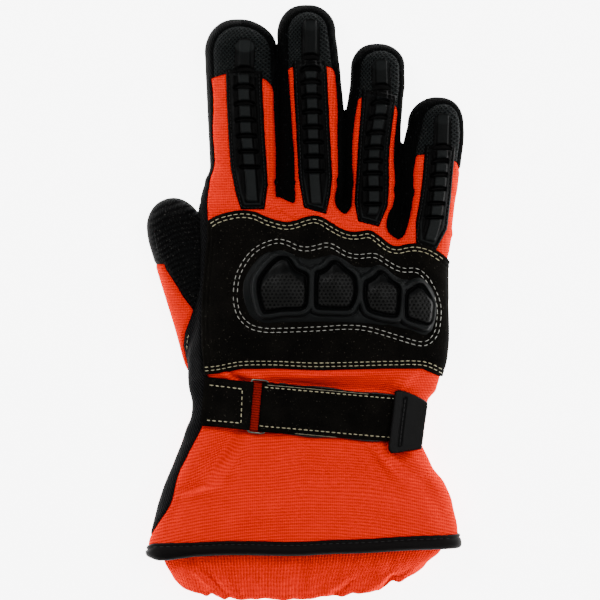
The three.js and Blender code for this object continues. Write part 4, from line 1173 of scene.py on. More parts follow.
def knuckle_guard():
    """The moulded guard: a flange, a ridge round each pocket, and a dotted dome in it."""
    edge = rounded(GUARD_EDGE, 220)
    pockets = [rounded(line_px(pocket), 90) for pocket in POCKETS_PX]

    def place(s, t):
        return s + GUARD_CORNER[0], t + GUARD_CORNER[1]

    def inside(s, t):
        return outline_distance(*place(s, t), edge)

    def pocket_distance(s, t):
        x, y = place(s, t)
        return np.min([outline_distance(x, y, pocket) for pocket in pockets], axis=0)

    def crown_gap(s, t):
        x, y = place(s, t)
        return np.interp(x, *DOTTED_CROWN.T) - y

    def lift(s, t):
        depth = -inside(s, t)
        gap = pocket_distance(s, t)
        flange = 0.5 + 1.5 * np.sqrt(ramp(depth, -0.1, 1.1)) + 0.25 * ramp(depth, 1, 2.6)
        ledge = 0.9 * ramp(4.9 - gap, 0, 0.5) * ramp(depth, 1.0, 1.8)
        ridge = 2.9 * ramp(3.5 - gap, 0, 1.1) * ramp(depth, 1.4, 2.8)
        height = flange + 0.45 * ledge + ridge - 0.55 * bump(gap - 3.9, 0.4)
        height = height - (height - 1.9) * ramp(-gap, -0.55, 0.25)
        dome = 1.9 + 2.9 * ramp(-gap, 0.55, 1.35) + 1.2 * ramp(-gap, 1.4, 9)
        dome = dome - 1.4 * ramp(-crown_gap(s, t), -1.5, 4.5)
        return np.where(gap < -0.5, np.maximum(height, dome), height)

    def soft_domes(s, t):
        return ramp(-pocket_distance(s, t), 2.2, 3.8)

    def dots(s, t):
        return ramp(-pocket_distance(s, t), 1.1, 1.5) * ramp(crown_gap(s, t), -0.4, 0.4)

    # Painted highlight along the ridge round each pocket; the guard also a little paler away from the
    # pockets.
    def pale(s, t):
        gap = pocket_distance(s, t)
        return 0.62 * bump(gap - 2.0, 1.0) + 0.35 * ramp(-inside(s, t), 0, 1) * ramp(gap, 3, 4)

    return height_piece(
        "knuckle_guard", (GUARD_LENGTH, GUARD_HALF), 0.42, place, inside, lift, dotted_rubber, 6,
        {"dots": dots, "pale": pale}, 0.0, soft_domes,
    )


knuckle_guard()

# Each finger guard, in pixels of the photo. The last two numbers of its spot are half widths in millimetres
FINGER_GUARD_HALF = 11
FINGER_GUARDS = {
    "index": {
        "left": [
            (226.2, 70), (226.2, 76), (226.8, 100), (227.8, 119), (229.2, 145), (231.2, 170), (236.3, 195),
            (241.3, 210),
        ],
        "right": [
            (262.2, 72), (262.4, 79), (263.2, 100), (265.2, 140), (268.2, 184), (266.6, 196), (264.8, 210),
        ],
        "nose": (245.5, 39.2, 10.2), "spot": (245, 47.3, 4.9, 3.15), "oval": 0.35,
        "blocks": [
            (244.2, 79.5), (244.4, 96.5), (245.6, 113.2), (246.2, 129.3), (247.9, 145.2), (249.6, 160.6),
        ],
        "last": [(250.8, 176.4), (252.8, 203)],
    },
    "middle": {
        "left": [(292.5, 61.5), (292.7, 66), (294.4, 100), (296.6, 140), (298.4, 177), (303.8, 208.4)],
        "right": [
            (326.2, 61.5), (326.6, 66), (328.1, 100), (330.4, 143), (332.2, 178), (330.4, 195),
            (326, 214.6),
        ],
        "nose": (310.5, 20, 9.0), "spot": (310.5, 27, 4.4, 2.6),
        "blocks": [
            (310.6, 64.6), (310.8, 76.4), (311.3, 90.4), (312, 105.4), (312.5, 121.1), (313, 136.1),
            (313.4, 150.4), (313.7, 165.2),
        ],
        "last": [(314.4, 180.4), (316.4, 206)],
    },
    "ring": {
        "left": [
            (361.9, 90), (361.7, 95), (359.8, 120), (357.7, 146), (356.2, 172), (354.2, 202),
            (357.6, 221.8),
        ],
        "right": [
            (396, 96), (395.5, 101), (392.8, 120), (389.6, 145), (388.6, 160), (388.6, 186), (387.6, 206),
            (378.4, 227.2),
        ],
        "nose": (380.5, 60, 9.5), "spot": (380.5, 66, 4.6, 2.8),
        "blocks": [
            (381.6, 95.9), (380.2, 111.1), (377.7, 125.9), (375, 142.1), (373.5, 155.5), (372.6, 168.5),
            (373, 180.7), (373.6, 199.3),
        ],
        "last": [(373.2, 211.7), (371, 216)],
    },
    "little": {
        "left": [(424.6, 145.5), (424.3, 150), (421.9, 180), (418.4, 205), (415.2, 223), (415.4, 244)],
        "right": [(455.4, 146), (454.9, 150), (453.5, 166), (450.6, 200), (447.2, 229), (435.4, 250.6)],
        "nose": (442.6, 114, 8.6), "spot": (442.6, 120, 4, 2.6),
        "blocks": [(441.5, 155), (440.6, 168.4), (439.4, 182.8), (438, 196.8), (436, 212)],
        "last": [(434, 224.6), (429, 241)],
    },
}


def finger_guard(name, spec):
    """A moulded guard along a finger: a flange, blocks with gaps between them, and a nose over the cap."""
    left, right, blocks, last = (line_px(spec[key]) for key in ("left", "right", "blocks", "last"))
    nose_x, nose_y = at_px(*spec["nose"][:2])
    nose_half = spec["nose"][2] * PIXEL
    spot_x, spot_y = at_px(*spec["spot"][:2])
    long, short = spec["spot"][2:]
    spine = np.vstack([[nose_x, nose_y], blocks, last])
    first_gap = blocks[0] + (blocks[0] - blocks[1]) * 0.5
    gaps = np.vstack([[first_gap], (blocks[1:] + blocks[:-1]) / 2, [(blocks[-1] + last[0]) / 2]])
    top_y, base_y = max(left[0, 1], right[0, 1]), min(left[-1, 1], right[-1, 1])

    def centre_at(y):
        return np.interp(-y, -spine[:, 1], spine[:, 0])

    def place(s, t):
        y = nose_y - s
        return centre_at(y) + t, y

    def oval_at(x, y):
        """1 on the border of the oval mark at the tip."""
        return np.hypot((x - spot_x) / long, (y - spot_y) / short)

    def flange(x, y):
        outline = np.vstack([left, right[::-1]])
        return outline_distance(x, y, outline)

    def nose(x, y):
        centre = centre_at(y)
        body = np.abs(x - centre) - nose_half
        tip = np.hypot(x - centre, np.maximum(y - nose_y + nose_half, 0)) - nose_half
        return np.maximum(np.maximum(body, tip), top_y - 8 - y)

    def inside(s, t):
        x, y = place(s, t)
        return np.minimum(flange(x, y), nose(x, y))

    def lift(s, t):
        x, y = place(s, t)
        depth = -flange(x, y)
        fade = ramp(top_y - y, -0.4, 3.2)
        height = 1.2 * np.sqrt(ramp(depth, -0.05, 0.6))
        height = height - 0.4 * bump(depth - 1.5, 0.32) + 0.3 * bump(depth - 2.5, 0.35)
        height = np.maximum(height, 0) * fade + 0.05
        off = x - centre_at(y)
        under_cap = (1 - ramp(np.abs(off), 4.4, 5.0)) * ramp(y, top_y - 6, top_y - 4)
        core = np.maximum(ramp(depth, 2.6, 3.2), under_cap)
        lip = bump(np.abs(off) - 5.0, 0.5)
        plateau = 1 - ramp(np.abs(off), 2.35, 2.9)
        low_end = ramp(y, last[1, 1] - 0.6, last[1, 1] + 1.4)
        raised = core * low_end * (0.5 + 0.5 * lip + 1.9 * plateau)
        for i, (_, gap_y) in enumerate(gaps):
            share = i / max(len(gaps) - 1, 1)
            widest = 1.5 - 0.55 * share
            reach = np.sqrt(np.clip(1 - (off / 5.2) ** 2, 0, 1))
            bend = 0.05 * (1 - share) * off**2
            near = np.abs(y - gap_y + bend - 0.3) - widest * reach
            raised = raised * ramp(near, -0.25, 0.45)
            height = height - (0.75 + 0.3 * core) * core * (1 - ramp(near, -0.5, 0.2)) * fade
        height = np.maximum(height + raised, 0.05)
        nose_depth = -nose(x, y)
        crown = 0.1 + 0.45 * ramp(nose_depth, 0, 2.8) + 0.15 * ramp(nose_depth, 2.8, nose_half)
        crown = crown * ramp(y, gaps[0][1] + 1.2, gaps[0][1] + 1.9) * ramp(nose_y - y, -0.2, 3)
        oval = 1 - ramp(oval_at(x, y), 0.8, 1.08)
        crown = crown + spec.get("oval", 0) * oval * ramp(nose_depth, 0, 1)
        return np.maximum(height, crown)

    # Painted highlights on the tops of the blocks, the oval mark, the top of the nose and the raised lip
    # near the flange's edge.
    def pale(s, t):
        x, y = place(s, t)
        depth = -flange(x, y)
        low_end = ramp(y, last[1, 1] - 0.4, last[1, 1] + 1)
        block = (1 - ramp(np.abs(x - centre_at(y)), 2.2, 2.6)) * ramp(depth, 2.6, 3.0) * low_end
        for _, gap_y in gaps:
            block = block * ramp(np.abs(y - gap_y - 0.3), 0.9, 1.3)
        oval = (1.0 if "oval" in spec else 0.3) * (1 - ramp(oval_at(x, y), 0.8, 1.05))
        tip = 0.3 * ramp(y, gaps[0][1] + 1.6, gaps[0][1] + 2.6) * ramp(-nose(x, y), 0.4, 1.2)
        edge_line = (0.3 + 0.6 * ramp(last[0, 1] + 4 - y, 0, 5)) * bump(depth - 2.5, 0.36)
        return np.clip(0.8 * block + oval + (tip + edge_line), 0, 1)

    shape = (nose_y - base_y, FINGER_GUARD_HALF)
    return height_piece(
        "finger_guard_" + name, shape, 0.4, place, inside, lift, rubber, 5, {"pale": pale}, 0.3,
    )


guard_items = {name: finger_guard(name, spec) for name, spec in FINGER_GUARDS.items()}


# Stitching: the pitch of each row, its stitches' length and its thread's width
STITCHES = {
    "thumb_hem": (2.6, 1.8, 0.36), "thumb_seam": (2.6, 3.2, 0.24), "panel_upper": (3.0, 2.4, 0.44),
    "panel_lower": (2.75, 2.1, 0.44), "flange": (1.9, 1.35, 0.3), "guard": (3.1, 2.25, 0.36),
    "strap_edge": (5, 6.4, 0.34), "strap": (2.65, 1.95, 0.5), "box": (2.75, 1.9, 0.55),
    "slot": (2.1, 1.7, 0.6), "hem": (3.1, 2.2, 0.5),
}
THREAD_SIDES = 6
THREAD_RINGS = ((0.0, 0.15), (0.16, 0.8), (0.5, 1.0), (0.84, 0.8), (1.0, 0.15))  # place and thickness


def tangents_of(points):
    """The direction of an open path at each of its points."""
    ahead = np.roll(points, -1, axis=0) - np.roll(points, 1, axis=0)
    ahead[0], ahead[-1] = points[1] - points[0], points[-1] - points[-2]
    return ahead / np.linalg.norm(ahead, axis=1, keepdims=True)


def travelled(path):
    """How far along a path each of its points is."""
    return np.concatenate([[0], np.cumsum(np.hypot(*np.diff(path, axis=0).T))])


def stitch_row(path, kind, surfaces, seed, lift=0.05):
    """Ends and middle of each stitch along a path in plan, and the thread's width."""
    pitch, length, width = STITCHES[kind]
    path = np.asarray(path, float)
    along = travelled(path)
    count = int(along[-1] // pitch)
    rng = np.random.default_rng(seed)
    ends = []
    for i in range(count):
        middle = (i + 0.5) * pitch + rng.uniform(-0.12, 0.12)
        span = length * rng.uniform(0.9, 1.08) / 2
        spots = middle + np.array([-span, 0, span])
        ends.append(np.column_stack([np.interp(spots, along, line) for line in path.T]))
    ends = np.array(ends)
    heights = height_at(ends[..., 0], ends[..., 1], surfaces)
    return [np.column_stack([end, height + lift]) for end, height in zip(ends, heights)], width


def stitch_mesh(rows):
    """Rounded threads through groups of three points."""
    points, faces = [], []
    sides, rings = THREAD_SIDES, THREAD_RINGS
    for stitches, width in rows:
        for a, b, c in stitches:
            run = (c - a) / np.linalg.norm(c - a)
            across = np.cross(run, (0, 0, 1))
            across /= np.linalg.norm(across)
            up = np.cross(across, run)
            start = len(points)
            for share, size in rings:
                bulge = (2 * b - 0.5 * a - 0.5 * c) * 2 * share * (1 - share)
                centre = a * (1 - share) ** 2 + bulge + c * share**2
                centre = centre - up * 0.35 * width * (1 - size)
                for k in range(sides):
                    angle = math.tau * k / sides
                    around = across * math.cos(angle) + up * 0.8 * math.sin(angle)
                    points.append(centre + around * size * width / 2)
            for r in range(len(rings) - 1):
                for k in range(sides):
                    n = (k + 1) % sides
                    i = start + r * sides
                    faces.append((i + k, i + n, i + sides + n, i + sides + k))
            faces.append(tuple(start + k for k in reversed(range(sides))))
            last = start + (len(rings) - 1) * sides
            faces.append(tuple(last + k for k in range(sides)))
    return np.array(points), faces


def offset_path(path, distance):
    """Moves an open path to its left."""
    path = np.asarray(path, float)
    run = tangents_of(path)
    return path + np.column_stack([-run[:, 1], run[:, 0]]) * distance


def add_stitches(name, rows, material):
    points, faces = stitch_mesh(rows)
    return add_piece(name, points, faces, material)


# On the thumb
THUMB_HEM_PX = [(189, 334), (187.4, 340), (187, 346), (187.6, 354)]
THUMB_SEAM_PX = [(154.2, 232.5), (156.4, 243), (158.4, 253), (159.6, 261)]
thumb_hem, thumb_seam = (rounded(line_px(line), 40, closed=False) for line in (THUMB_HEM_PX, THUMB_SEAM_PX))
add_stitches("thumb_stitching", [stitch_row(thumb_hem, "thumb_hem", [tree], 51)], thread)
seam_stitches = stitch_row(thumb_seam, "thumb_seam", [tree], 52, lift=0.02)
add_stitches("thumb_seam_thread", [seam_stitches], guard_thread)

# Round the suede panel
PANEL_ROWS = (1.8, 3.5)  # how far each row of stitches lies from the panel's edge
UPPER_EDGE_END, PANEL_RIGHT = (68.2, 20.4), 69
suede_surfaces = [tree, panel_tree]
upper_line = [p for p in KNUCKLE_UPPER if p[0] < PANEL_RIGHT] + [UPPER_EDGE_END]
upper_edge = rounded(upper_line, 160, closed=False)
lower_edge = rounded([p for p in KNUCKLE_LOWER[::-1] if p[0] < PANEL_RIGHT], 120, closed=False)
rows = []
for seed, inset in enumerate(PANEL_ROWS):
    rows.append(stitch_row(offset_path(upper_edge, -inset), "panel_upper", suede_surfaces, seed))
for seed, inset in enumerate(PANEL_ROWS, start=2):
    rows.append(stitch_row(offset_path(lower_edge, inset), "panel_lower", suede_surfaces, seed))
add_stitches("panel_stitching", rows, thread)

# Along the edges of the finger guards
FLANGE_ROW = 1.5
rows = []
for name, spec in FINGER_GUARDS.items():
    outline = rounded(line_px(spec["left"] + spec["right"][::-1]), 140, closed=False)
    surfaces = [tree_of(guard_items[name]), tree]
    rows.append(stitch_row(offset_path(outline, FLANGE_ROW), "flange", surfaces, 41))
add_stitches("finger_guard_stitching", rows, guard_thread)

# Round the knuckle guard
GUARD_ROWS = (0.0, 1.9)
guard_ring = rounded(line_px(STITCH_CONTOUR_PX), 300)
guard_ring = np.vstack([guard_ring, guard_ring[:1]])
rows = []
for seed, inset in enumerate(GUARD_ROWS, start=5):
    rows.append(stitch_row(offset_path(guard_ring, -inset), "guard", suede_surfaces, seed))
add_stitches("guard_stitching", rows, grey_thread)

# The wrist strap, in its own axes: along it from the thumb side, and across it
STRAP_START, STRAP_END = np.array([-48, -47.8]), np.array([56, -57.2])
STRAP_HALF = 11.6
ANCHOR_END, ANCHOR_BAR, TONGUE_END, STRAP_BAR, UPPER_END = -1.0, 20.4, 28, 28.9, 96.0
BAR_LIFT, BAR_TURN, LOWER_LIFT = 2.75, 1.75, 0.95  # the ring's height, the fold's radius, the lower layer
STRAP_THICKNESS, STRAP_STEP = 1.25, 1.5
strap_run = (STRAP_END - STRAP_START) / np.linalg.norm(STRAP_END - STRAP_START)


def strap_point(along, across):
    """Plan point of a place on the strap."""
    (x, y), (dx, dy) = STRAP_START, strap_run
    return x + dx * along - dy * across, y + dy * along + dx * across


# The cloth's height under the strap, its highest across each place and evened out along it
BED_SHARES, BED_EVEN = (-0.9, -0.5, 0, 0.5, 0.9), 9
strap_stations = np.arange(-4, 108, 1.0)
strap_beds = []
for station in strap_stations:
    spots = np.array([strap_point(station, share * STRAP_HALF) for share in BED_SHARES])
    strap_beds.append(height_at(spots[:, 0], spots[:, 1]).max())
strap_beds = np.pad(strap_beds, BED_EVEN // 2, mode="edge")
strap_beds = np.convolve(strap_beds, np.ones(BED_EVEN) / BED_EVEN, mode="valid")


def strap_bed(along):
    return np.interp(along, strap_stations, strap_beds)


def tube_faces(rings, count, closed):
    """Quads between rings of count points."""
    faces = []
    for i in range(rings if closed else rings - 1):
        j = (i + 1) % rings
        for k in range(count):
            n = (k + 1) % count
            faces.append((i * count + k, i * count + n, j * count + n, j * count + k))
    return faces


def band(name, path, half, thickness, material, replaces=(), edge_wave=0.0, taper=None):
    """A flat band along a path of (along, lift) points, with rounded edges."""
    path = np.asarray(path, float)
    run = tangents_of(path)
    normal = np.column_stack([-run[:, 1], run[:, 0]])
    section = [(share, 0.5 - 0.225 * max(0, abs(share) - 0.94) / 0.06) for share in np.linspace(-1, 1, 25)]
    ring = section + [(share, -h) for share, h in section[::-1]]
    points, uv = [], []
    for (along, lift), (nx, ny), distance in zip(path, normal, travelled(path)):
        reach = half * taper(along) if taper else half
        for share, h in ring:
            across = share * reach + edge_wave * math.sin(along / 4.3 + share) * (abs(share) > 0.8)
            px, py = strap_point(along + nx * h * thickness, across)
            sag = -0.5 * max(0, abs(share) - 0.6) * edge_wave
            points.append((px, py, strap_bed(along) + lift + ny * h * thickness + sag))
            uv.append((across, distance))
    count = len(ring)
    faces = tube_faces(len(path), count, closed=False)
    for start, turned in ((0, True), ((len(path) - 1) * count, False)):
        for j in range(len(section) - 1):
            quad = (start + j, start + j + 1, start + count - 2 - j, start + count - 1 - j)
            faces.append(quad[::-1] if turned else quad)
    return add_piece(name, points, faces, material, uv, replaces=replaces)


def folded_path(bar, end, top):
    """Along the top layer to the bar, round it, and back under."""
    away, length = math.copysign(1, end - bar), abs(end - bar)
    rise = BAR_LIFT + BAR_TURN - top
    points = []
    for a in np.arange(0, length - 4, STRAP_STEP):
        points.append((end - away * a, top + rise * ramp(a, length - 12, length - 4)))
    for degrees in range(90, 271, 20):
        angle = math.radians(degrees)
        points.append((bar + away * BAR_TURN * math.cos(angle), BAR_LIFT + BAR_TURN * math.sin(angle)))
    for a in np.arange(3, length, STRAP_STEP):
        share = ramp(a, 3, 12)
        points.append((bar + away * a, (BAR_LIFT - BAR_TURN) * (1 - share) + LOWER_LIFT * share))
    return np.array(points, float)


def strap_taper(along):
    return 1 - 0.07 * ramp(along, 34, 92)


strap = band(
    "visual_wrist_strap", folded_path(STRAP_BAR, UPPER_END, 2.65), STRAP_HALF + 0.2, STRAP_THICKNESS, suede,
    ["wrist_strap"], edge_wave=0.12, taper=strap_taper,
)
hook_path = [(a, 1.85 + 0.25 * math.sin(a / 9)) for a in np.arange(STRAP_BAR + 6, UPPER_END - 1, 2)]
band("strap_hook_tape", hook_path, STRAP_HALF + 0.7, 0.7, hook_tape, edge_wave=0.35, taper=strap_taper)
anchor_path = folded_path(ANCHOR_BAR, ANCHOR_END, 2.35)
anchor = band(
    "visual_strap_anchor", anchor_path, STRAP_HALF, STRAP_THICKNESS, suede, ["strap_anchor"], edge_wave=0.1
)
tongue_path = [(a, 0.8) for a in np.arange(ANCHOR_BAR - 1, TONGUE_END, 0.7)]
band("strap_anchor_tongue", tongue_path, STRAP_HALF - 0.5, 0.9, suede)


def wire_ring():
    """The rectangular ring, bent from wire with round corners."""
    half, corner, wire = 12.65, 1.9, 0.5
    shift, lean = 1.0, 0.016
    right, left, far = STRAP_BAR - corner, ANCHOR_BAR + corner, half - corner
    path = []
    for along, across, start in ((right, far, 0), (left, far, 90), (left, -far, 180), (right, -far, 270)):
        for step in range(0, 91, 10):
            angle = math.radians(start + step)
            leaning = along + shift - lean * across
            path.append((leaning + corner * math.cos(angle), across + corner * math.sin(angle)))
    path = np.array(path)
    points, sides = [], 12
    for i, (along, across) in enumerate(path):
        run = path[(i + 1) % len(path)] - path[i - 1]
        run = run / np.hypot(*run)
        share = (along - ANCHOR_BAR) / (STRAP_BAR - ANCHOR_BAR)
        height = strap_bed(ANCHOR_BAR) * (1 - share) + strap_bed(STRAP_BAR) * share + BAR_LIFT
        for k in range(sides):
            angle = math.tau * k / sides
            out = wire * math.cos(angle)
            px, py = strap_point(along + run[1] * out, across - run[0] * out)
            points.append((px, py, height + wire * math.sin(angle)))
    faces = tube_faces(len(path), sides, closed=True)
    add_piece("visual_strap_ring", points, faces, steel, replaces=["strap_ring"])


def webbing():
    """The ribbed band in the ring."""
    half_length, half_width, centre, shift = 11.5, 2.4, 24.95, -0.3
    lift, thickness, crown_height, droop_start = 2.9, 0.9, 0.95, 10
    rib, rib_height = 1.2, 0.16
    lengths = np.linspace(-half_length, half_length, 200)
    shares = np.linspace(-1, 1, 17)
    top, bottom, uv = [], [], []
    for across in lengths:
        for share in shares:
            along = centre + share * half_width
            px, py = strap_point(along, across + shift)
            ribs = rib_height * math.cos(math.tau * across / rib) * (1 - share**6)
            crown = crown_height * (1 - share**2) + ribs
            droop = -0.4 * max(0, abs(across) - droop_start) ** 2
            height = strap_bed(along) + lift + crown + droop
            top.append((px, py, height))
            bottom.append((px, py, height - crown - thickness))
            uv.append((along, across))
    faces = grid_faces(len(lengths), len(shares))[:, ::-1]
    points, faces = thickened(np.array(top), np.array(bottom), faces)
    add_piece("visual_ring_webbing", points, faces, orange_band, uv * 2, replaces=["ring_webbing"])


wire_ring()
webbing()


def strap_line(across, start, end):
    """A line along the strap, in plan."""
    return [strap_point(a, across) for a in np.arange(start, end, 1.0)]


strap_tree = tree_of(strap)
# Pale threads along parts of the strap's edges stand in for the highlight along them: painted highlight.
add_stitches(
    "strap_edge_highlight",
    [
        stitch_row(strap_line(10.7, 27.5, 80), "strap_edge", [strap_tree], 31, lift=0.02),
        stitch_row(strap_line(-11.2, 44, 66), "strap_edge", [strap_tree], 33, lift=0.02),
    ],
    highlight_thread,
)

# The rubber pull tab
TAB = [
    (42.7, -43.6), (43.3, -42.6), (44.8, -42.2), (48.4, -43.0), (55, -45.9), (57.9, -47.8), (58.5, -49.4),
    (57.2, -59), (55.8, -69.4), (54.9, -70.5), (48, -71.6), (41.8, -72.4), (40.3, -71.6), (39.6, -70),
    (40.2, -64), (41.6, -53),
]
TAB_SLOT = [(47.8, -46.6), (46.4, -57.5), (45.2, -68.2)]
TAB_CORNER, TAB_LOW, TAB_HIGH, TAB_PITCH = (41, -57.5), (-3, -18), (21, 18), 0.33
TAB_THICKNESS, TAB_LIFT, TAB_SAG = 3.2, 3.4, 0.12
TAB_MIDDLE = 45.6  # the tab tips down to the right of this
SLOT_TOP, SLOT_BOTTOM = -46.4, -68.4


def pull_tab():
    """A rubber tab with a groove along it."""
    edge = rounded(TAB, 140)
    bed = strap_bed(UPPER_END - 6) + TAB_LIFT

    def inside(s, t):
        return outline_distance(s + TAB_CORNER[0], t + TAB_CORNER[1], edge)

    (s, t), faces = flat_patch(TAB_LOW, TAB_HIGH, TAB_PITCH, inside)
    x, y = s + TAB_CORNER[0], t + TAB_CORNER[1]
    depth = -inside(s, t)
    sag = -TAB_SAG * (x - TAB_MIDDLE)
    round_edge = 1.1 * (1 - rounded_edge(depth, 1.0))
    slot_line = np.array(TAB_SLOT)
    slot_x = np.interp(-y, -slot_line[:, 1], slot_line[:, 0])
    slot_end = np.maximum(np.maximum(y - SLOT_TOP, SLOT_BOTTOM - y), 0)
    groove = 1 - ramp(np.hypot(x - slot_x, slot_end), 0.55, 1.05)
    left_part = 1 - ramp(x - slot_x, -1.6, -1.0)
    top = bed + TAB_THICKNESS + sag - round_edge - groove + 0.25 * left_part
    bottom = bed + sag + 0.8 * round_edge
    points, faces = thickened(np.column_stack([x, y, top]), np.column_stack([x, y, bottom]), faces)
    return add_piece("visual_pull_tab", points, faces, tab_rubber, plan_uv(x, y), replaces=["pull_tab"])


tab_tree = tree_of(pull_tab())

# Stitching on the strap, its anchor and the tab
anchor_trees = [tree_of(anchor), strap_tree]
BOX_CORNERS = [(1.2, 8.1), (17.5, 7.7), (18.3, -8.5), (-0.6, -8.8)]
BOX_STEPS = 30
box_line = []
box_corners = [strap_point(*corner) for corner in BOX_CORNERS]
for (ax, ay), (bx, by) in zip(box_corners[:-1], box_corners[1:]):
    for k in range(BOX_STEPS):
        box_line.append((ax + (bx - ax) * k / BOX_STEPS, ay + (by - ay) * k / BOX_STEPS))
add_stitches(
    "strap_stitching",
    [
        stitch_row(strap_line(9.55, 27.6, 92), "strap", anchor_trees, 11),
        stitch_row(strap_line(-9.0, 26.8, 92), "strap", anchor_trees, 12),
        stitch_row(box_line, "box", anchor_trees, 13),
    ],
    thread,
)
slot_line = rounded(TAB_SLOT, 60, closed=False)
slot_stitches = stitch_row(slot_line, "slot", [tab_tree], 15, lift=0.15)
add_stitches("tab_stitching", [slot_stitches], black_thread)


# The cuff's edge binding and the inner cuff
def section_steps(count):
    """Even steps round the cuff's section, as shares of its half width and half height."""
    angles = np.arange(count) * math.tau / count
    circle = np.cos(angles), np.sin(angles)
    return [np.sign(share) * np.abs(share) ** (2 / HAND_POWER) for share in circle]


def cuff_ring(along_y, grow, count):
    """Points round the cuff's section that crosses x = 0 at along_y, grown outwards."""
    left, right, top, slope = (float(hand[name](along_y)) for name in HAND_COLUMNS[1:])
    across, up = section_steps(count)
    x = (left + right) / 2 + ((right - left) / 2 + grow) * across
    z = (LOW + top) / 2 + ((top - LOW) / 2 + grow) * up
    return np.column_stack([x, along_y + slope * x, np.maximum(z, max(-grow, 0))])


def rings_mesh(rings):
    """A closed tube through rings of points, the last of them joined to the first."""
    faces = tube_faces(len(rings), len(rings[0]), closed=True)
    return np.vstack(rings), [(a, d, c, b) for a, b, c, d in faces]


# The binding's section: how far past the hem, and how far outside the cuff
BINDING_PROFILE = [
    (0.0, 0.05), (-0.2, 0.75), (-0.8, 1.05), (-1.3, 0.9), (-1.7, 0.5), (-2.1, 0.9), (-2.9, 1.2),
    (-4.2, 1.3), (-5.5, 1.15), (-6.4, 0.6), (-6.9, -0.3), (-6.9, -1.2), (-6.4, -2.0), (-5.0, -2.3),
    (-2.0, -2.3), (-0.5, -2.1), (-0.3, -1.0),
]
BINDING_POINTS = 260


def binding():
    """The rolled edge binding, which wanders a little and is drawn together at its thumb-side corner."""
    rings = []
    for dy, grow in BINDING_PROFILE:
        ring = cuff_ring(HEM["y"] + dy, grow, BINDING_POINTS)
        ring[:, 1] += hem_wave(ring[:, 0])
        if dy < -3:
            ring[:, 1] += -1.6 * ramp(-ring[:, 0], 50, 68) + 2.0 * ramp(-ring[:, 0], 69, 77)
        else:
            ring[:, 1] -= 1.6 * ramp(-ring[:, 0], 70, 77) ** 2
        rings.append(ring)
    points, faces = rings_mesh(rings)
    around = np.tile(np.arange(BINDING_POINTS) * 1.3, len(rings))
    uv = np.column_stack([around, points[:, 1]])
    return add_piece("visual_cuff_binding", points, faces, binding_material, uv, replaces=["cuff_binding"])


HEM_ROW = 1.7  # the stitches lie this far past the hem
binding_tree = tree_of(binding())
hem_line = [(x, HEM["y"] + HEM["slope"] * x - HEM_ROW + hem_wave(x)) for x in np.arange(-73, 72, 1.0)]
hem_stitches = stitch_row(hem_line, "hem", [binding_tree], 21, lift=0.06)
add_stitches("binding_stitching", [hem_stitches], black_thread)

# The inner cuff
INNER_COLUMNS = ("y", "left", "right", "low", "top", "bow")
INNER_ROWS = [
    (-129.5, -63.4, 57.4, 0, 17, 12.5),
    (-127, -64.6, 59, 0.8, 20, 8),
    (-122, -67.6, 64.8, 2.6, 24, 3),
    (-112, -70, 68.8, 2.6, 27.4, 0),
    (-99, -68.4, 67.6, 2.6, 26.6, 0),
]
INNER_FOLDS = [
    (-50, -131, -42, 12, 1.5, 2.6),
    (-45.5, -133.5, -42, 11, 1.2, -3.2),
    (-38, -135, -50, 9, 1.5, 1.8),
    (-34, -137, -52, 7, 1.0, -1.4),
    (-22, -134, -64, 8, 2.2, 0.9),
    (14, -137, 38, 8, 1.2, 1.6),
    (18, -138, 38, 8, 1.1, -2.2),
    (36, -134, 34, 9, 1.2, 2.0),
    (41, -134.5, 34, 9, 1.1, -2.8),
    (50, -130, 40, 9, 1.4, 1.2),
    (-10, -132, 82, 9, 4, 1.0),
    (26, -130, 86, 8, 3, -0.8),
]
inner_sides = curves_of(INNER_ROWS, INNER_COLUMNS)
INNER_POINTS = 420
INNER_START, INNER_BEND, INNER_END = -99, -123.5, -129.5
# How its end turns under: how far back, and how far in
TURN_UNDER = [(0.25, 0.9), (0.1, 1.6), (-0.5, 2.1), (-1.6, 2.3), (-3.5, 2.2), (-6, 2.0)]
LINING = [(-122, 2.0), (-112, 2.0), (-99, 2.0)]


def inner_cuff():
    """A soft ribbed tube, gathered and turned under at its end."""
    stations = [
        *np.linspace(INNER_START, INNER_BEND + 0.5, 16), *np.linspace(INNER_BEND - 0.5, INNER_END, 16),
    ]
    across, up = section_steps(INNER_POINTS)

    def ring(y, inset, lean):
        left, right, low, top, bow = (float(inner_sides[name](y)) for name in INNER_COLUMNS[1:])
        out = ramp(np.array(-y), 118, 127)
        x = (left + right) / 2 + ((right - left) / 2 - inset) * across
        square = np.where(across < 0, 4.4, 2.9)
        corner = 1.5 * out * ramp(-x, 40, 60)
        y_here = y + 0.03 * x - bow * (1 - np.abs(across) ** square) ** 0.9 - lean - corner
        gather = out * (0.9 * waves(x, 0 * x, 31, 11) + 0.45 * waves(x, y_here, 32, 6))
        z = (low + top) / 2 + ((top - low) / 2 - inset) * up
        lift = np.maximum(up, 0) * (gather + out * 1.6 * bump(y + 126, 4))
        lift = lift + np.maximum(up, 0) * out * fold_height(x, y_here, INNER_FOLDS)
        scallop = out * (0.6 * waves(x, 0 * x, 41, 26) + 0.45 * waves(x, 0 * x, 42, 9))
        scallop = scallop - 0.5 * out * fold_height(x, 0 * x - 134, INNER_FOLDS)
        return np.column_stack([x, y_here + scallop * bump(y - INNER_END, 3), np.maximum(z + lift, 0.05)])

    rings = [ring(y, 0, 0) for y in stations]
    rings += [ring(INNER_END, inset, back) for back, inset in TURN_UNDER]
    rings += [ring(y, inset, 0) for y, inset in LINING]
    weave = [*stations, *(INNER_END - inset for _, inset in TURN_UNDER), *(y for y, _ in LINING)]
    points, faces = rings_mesh(rings)
    first = np.vstack([rings[0], rings[0][:1]])[:, [0, 2]]
    uv = np.column_stack([np.tile(travelled(first)[1:], len(rings)), np.repeat(weave, INNER_POINTS)])
    add_piece("visual_inner_cuff", points, faces, orange_inner, uv, replaces=["inner_cuff"])


inner_cuff()

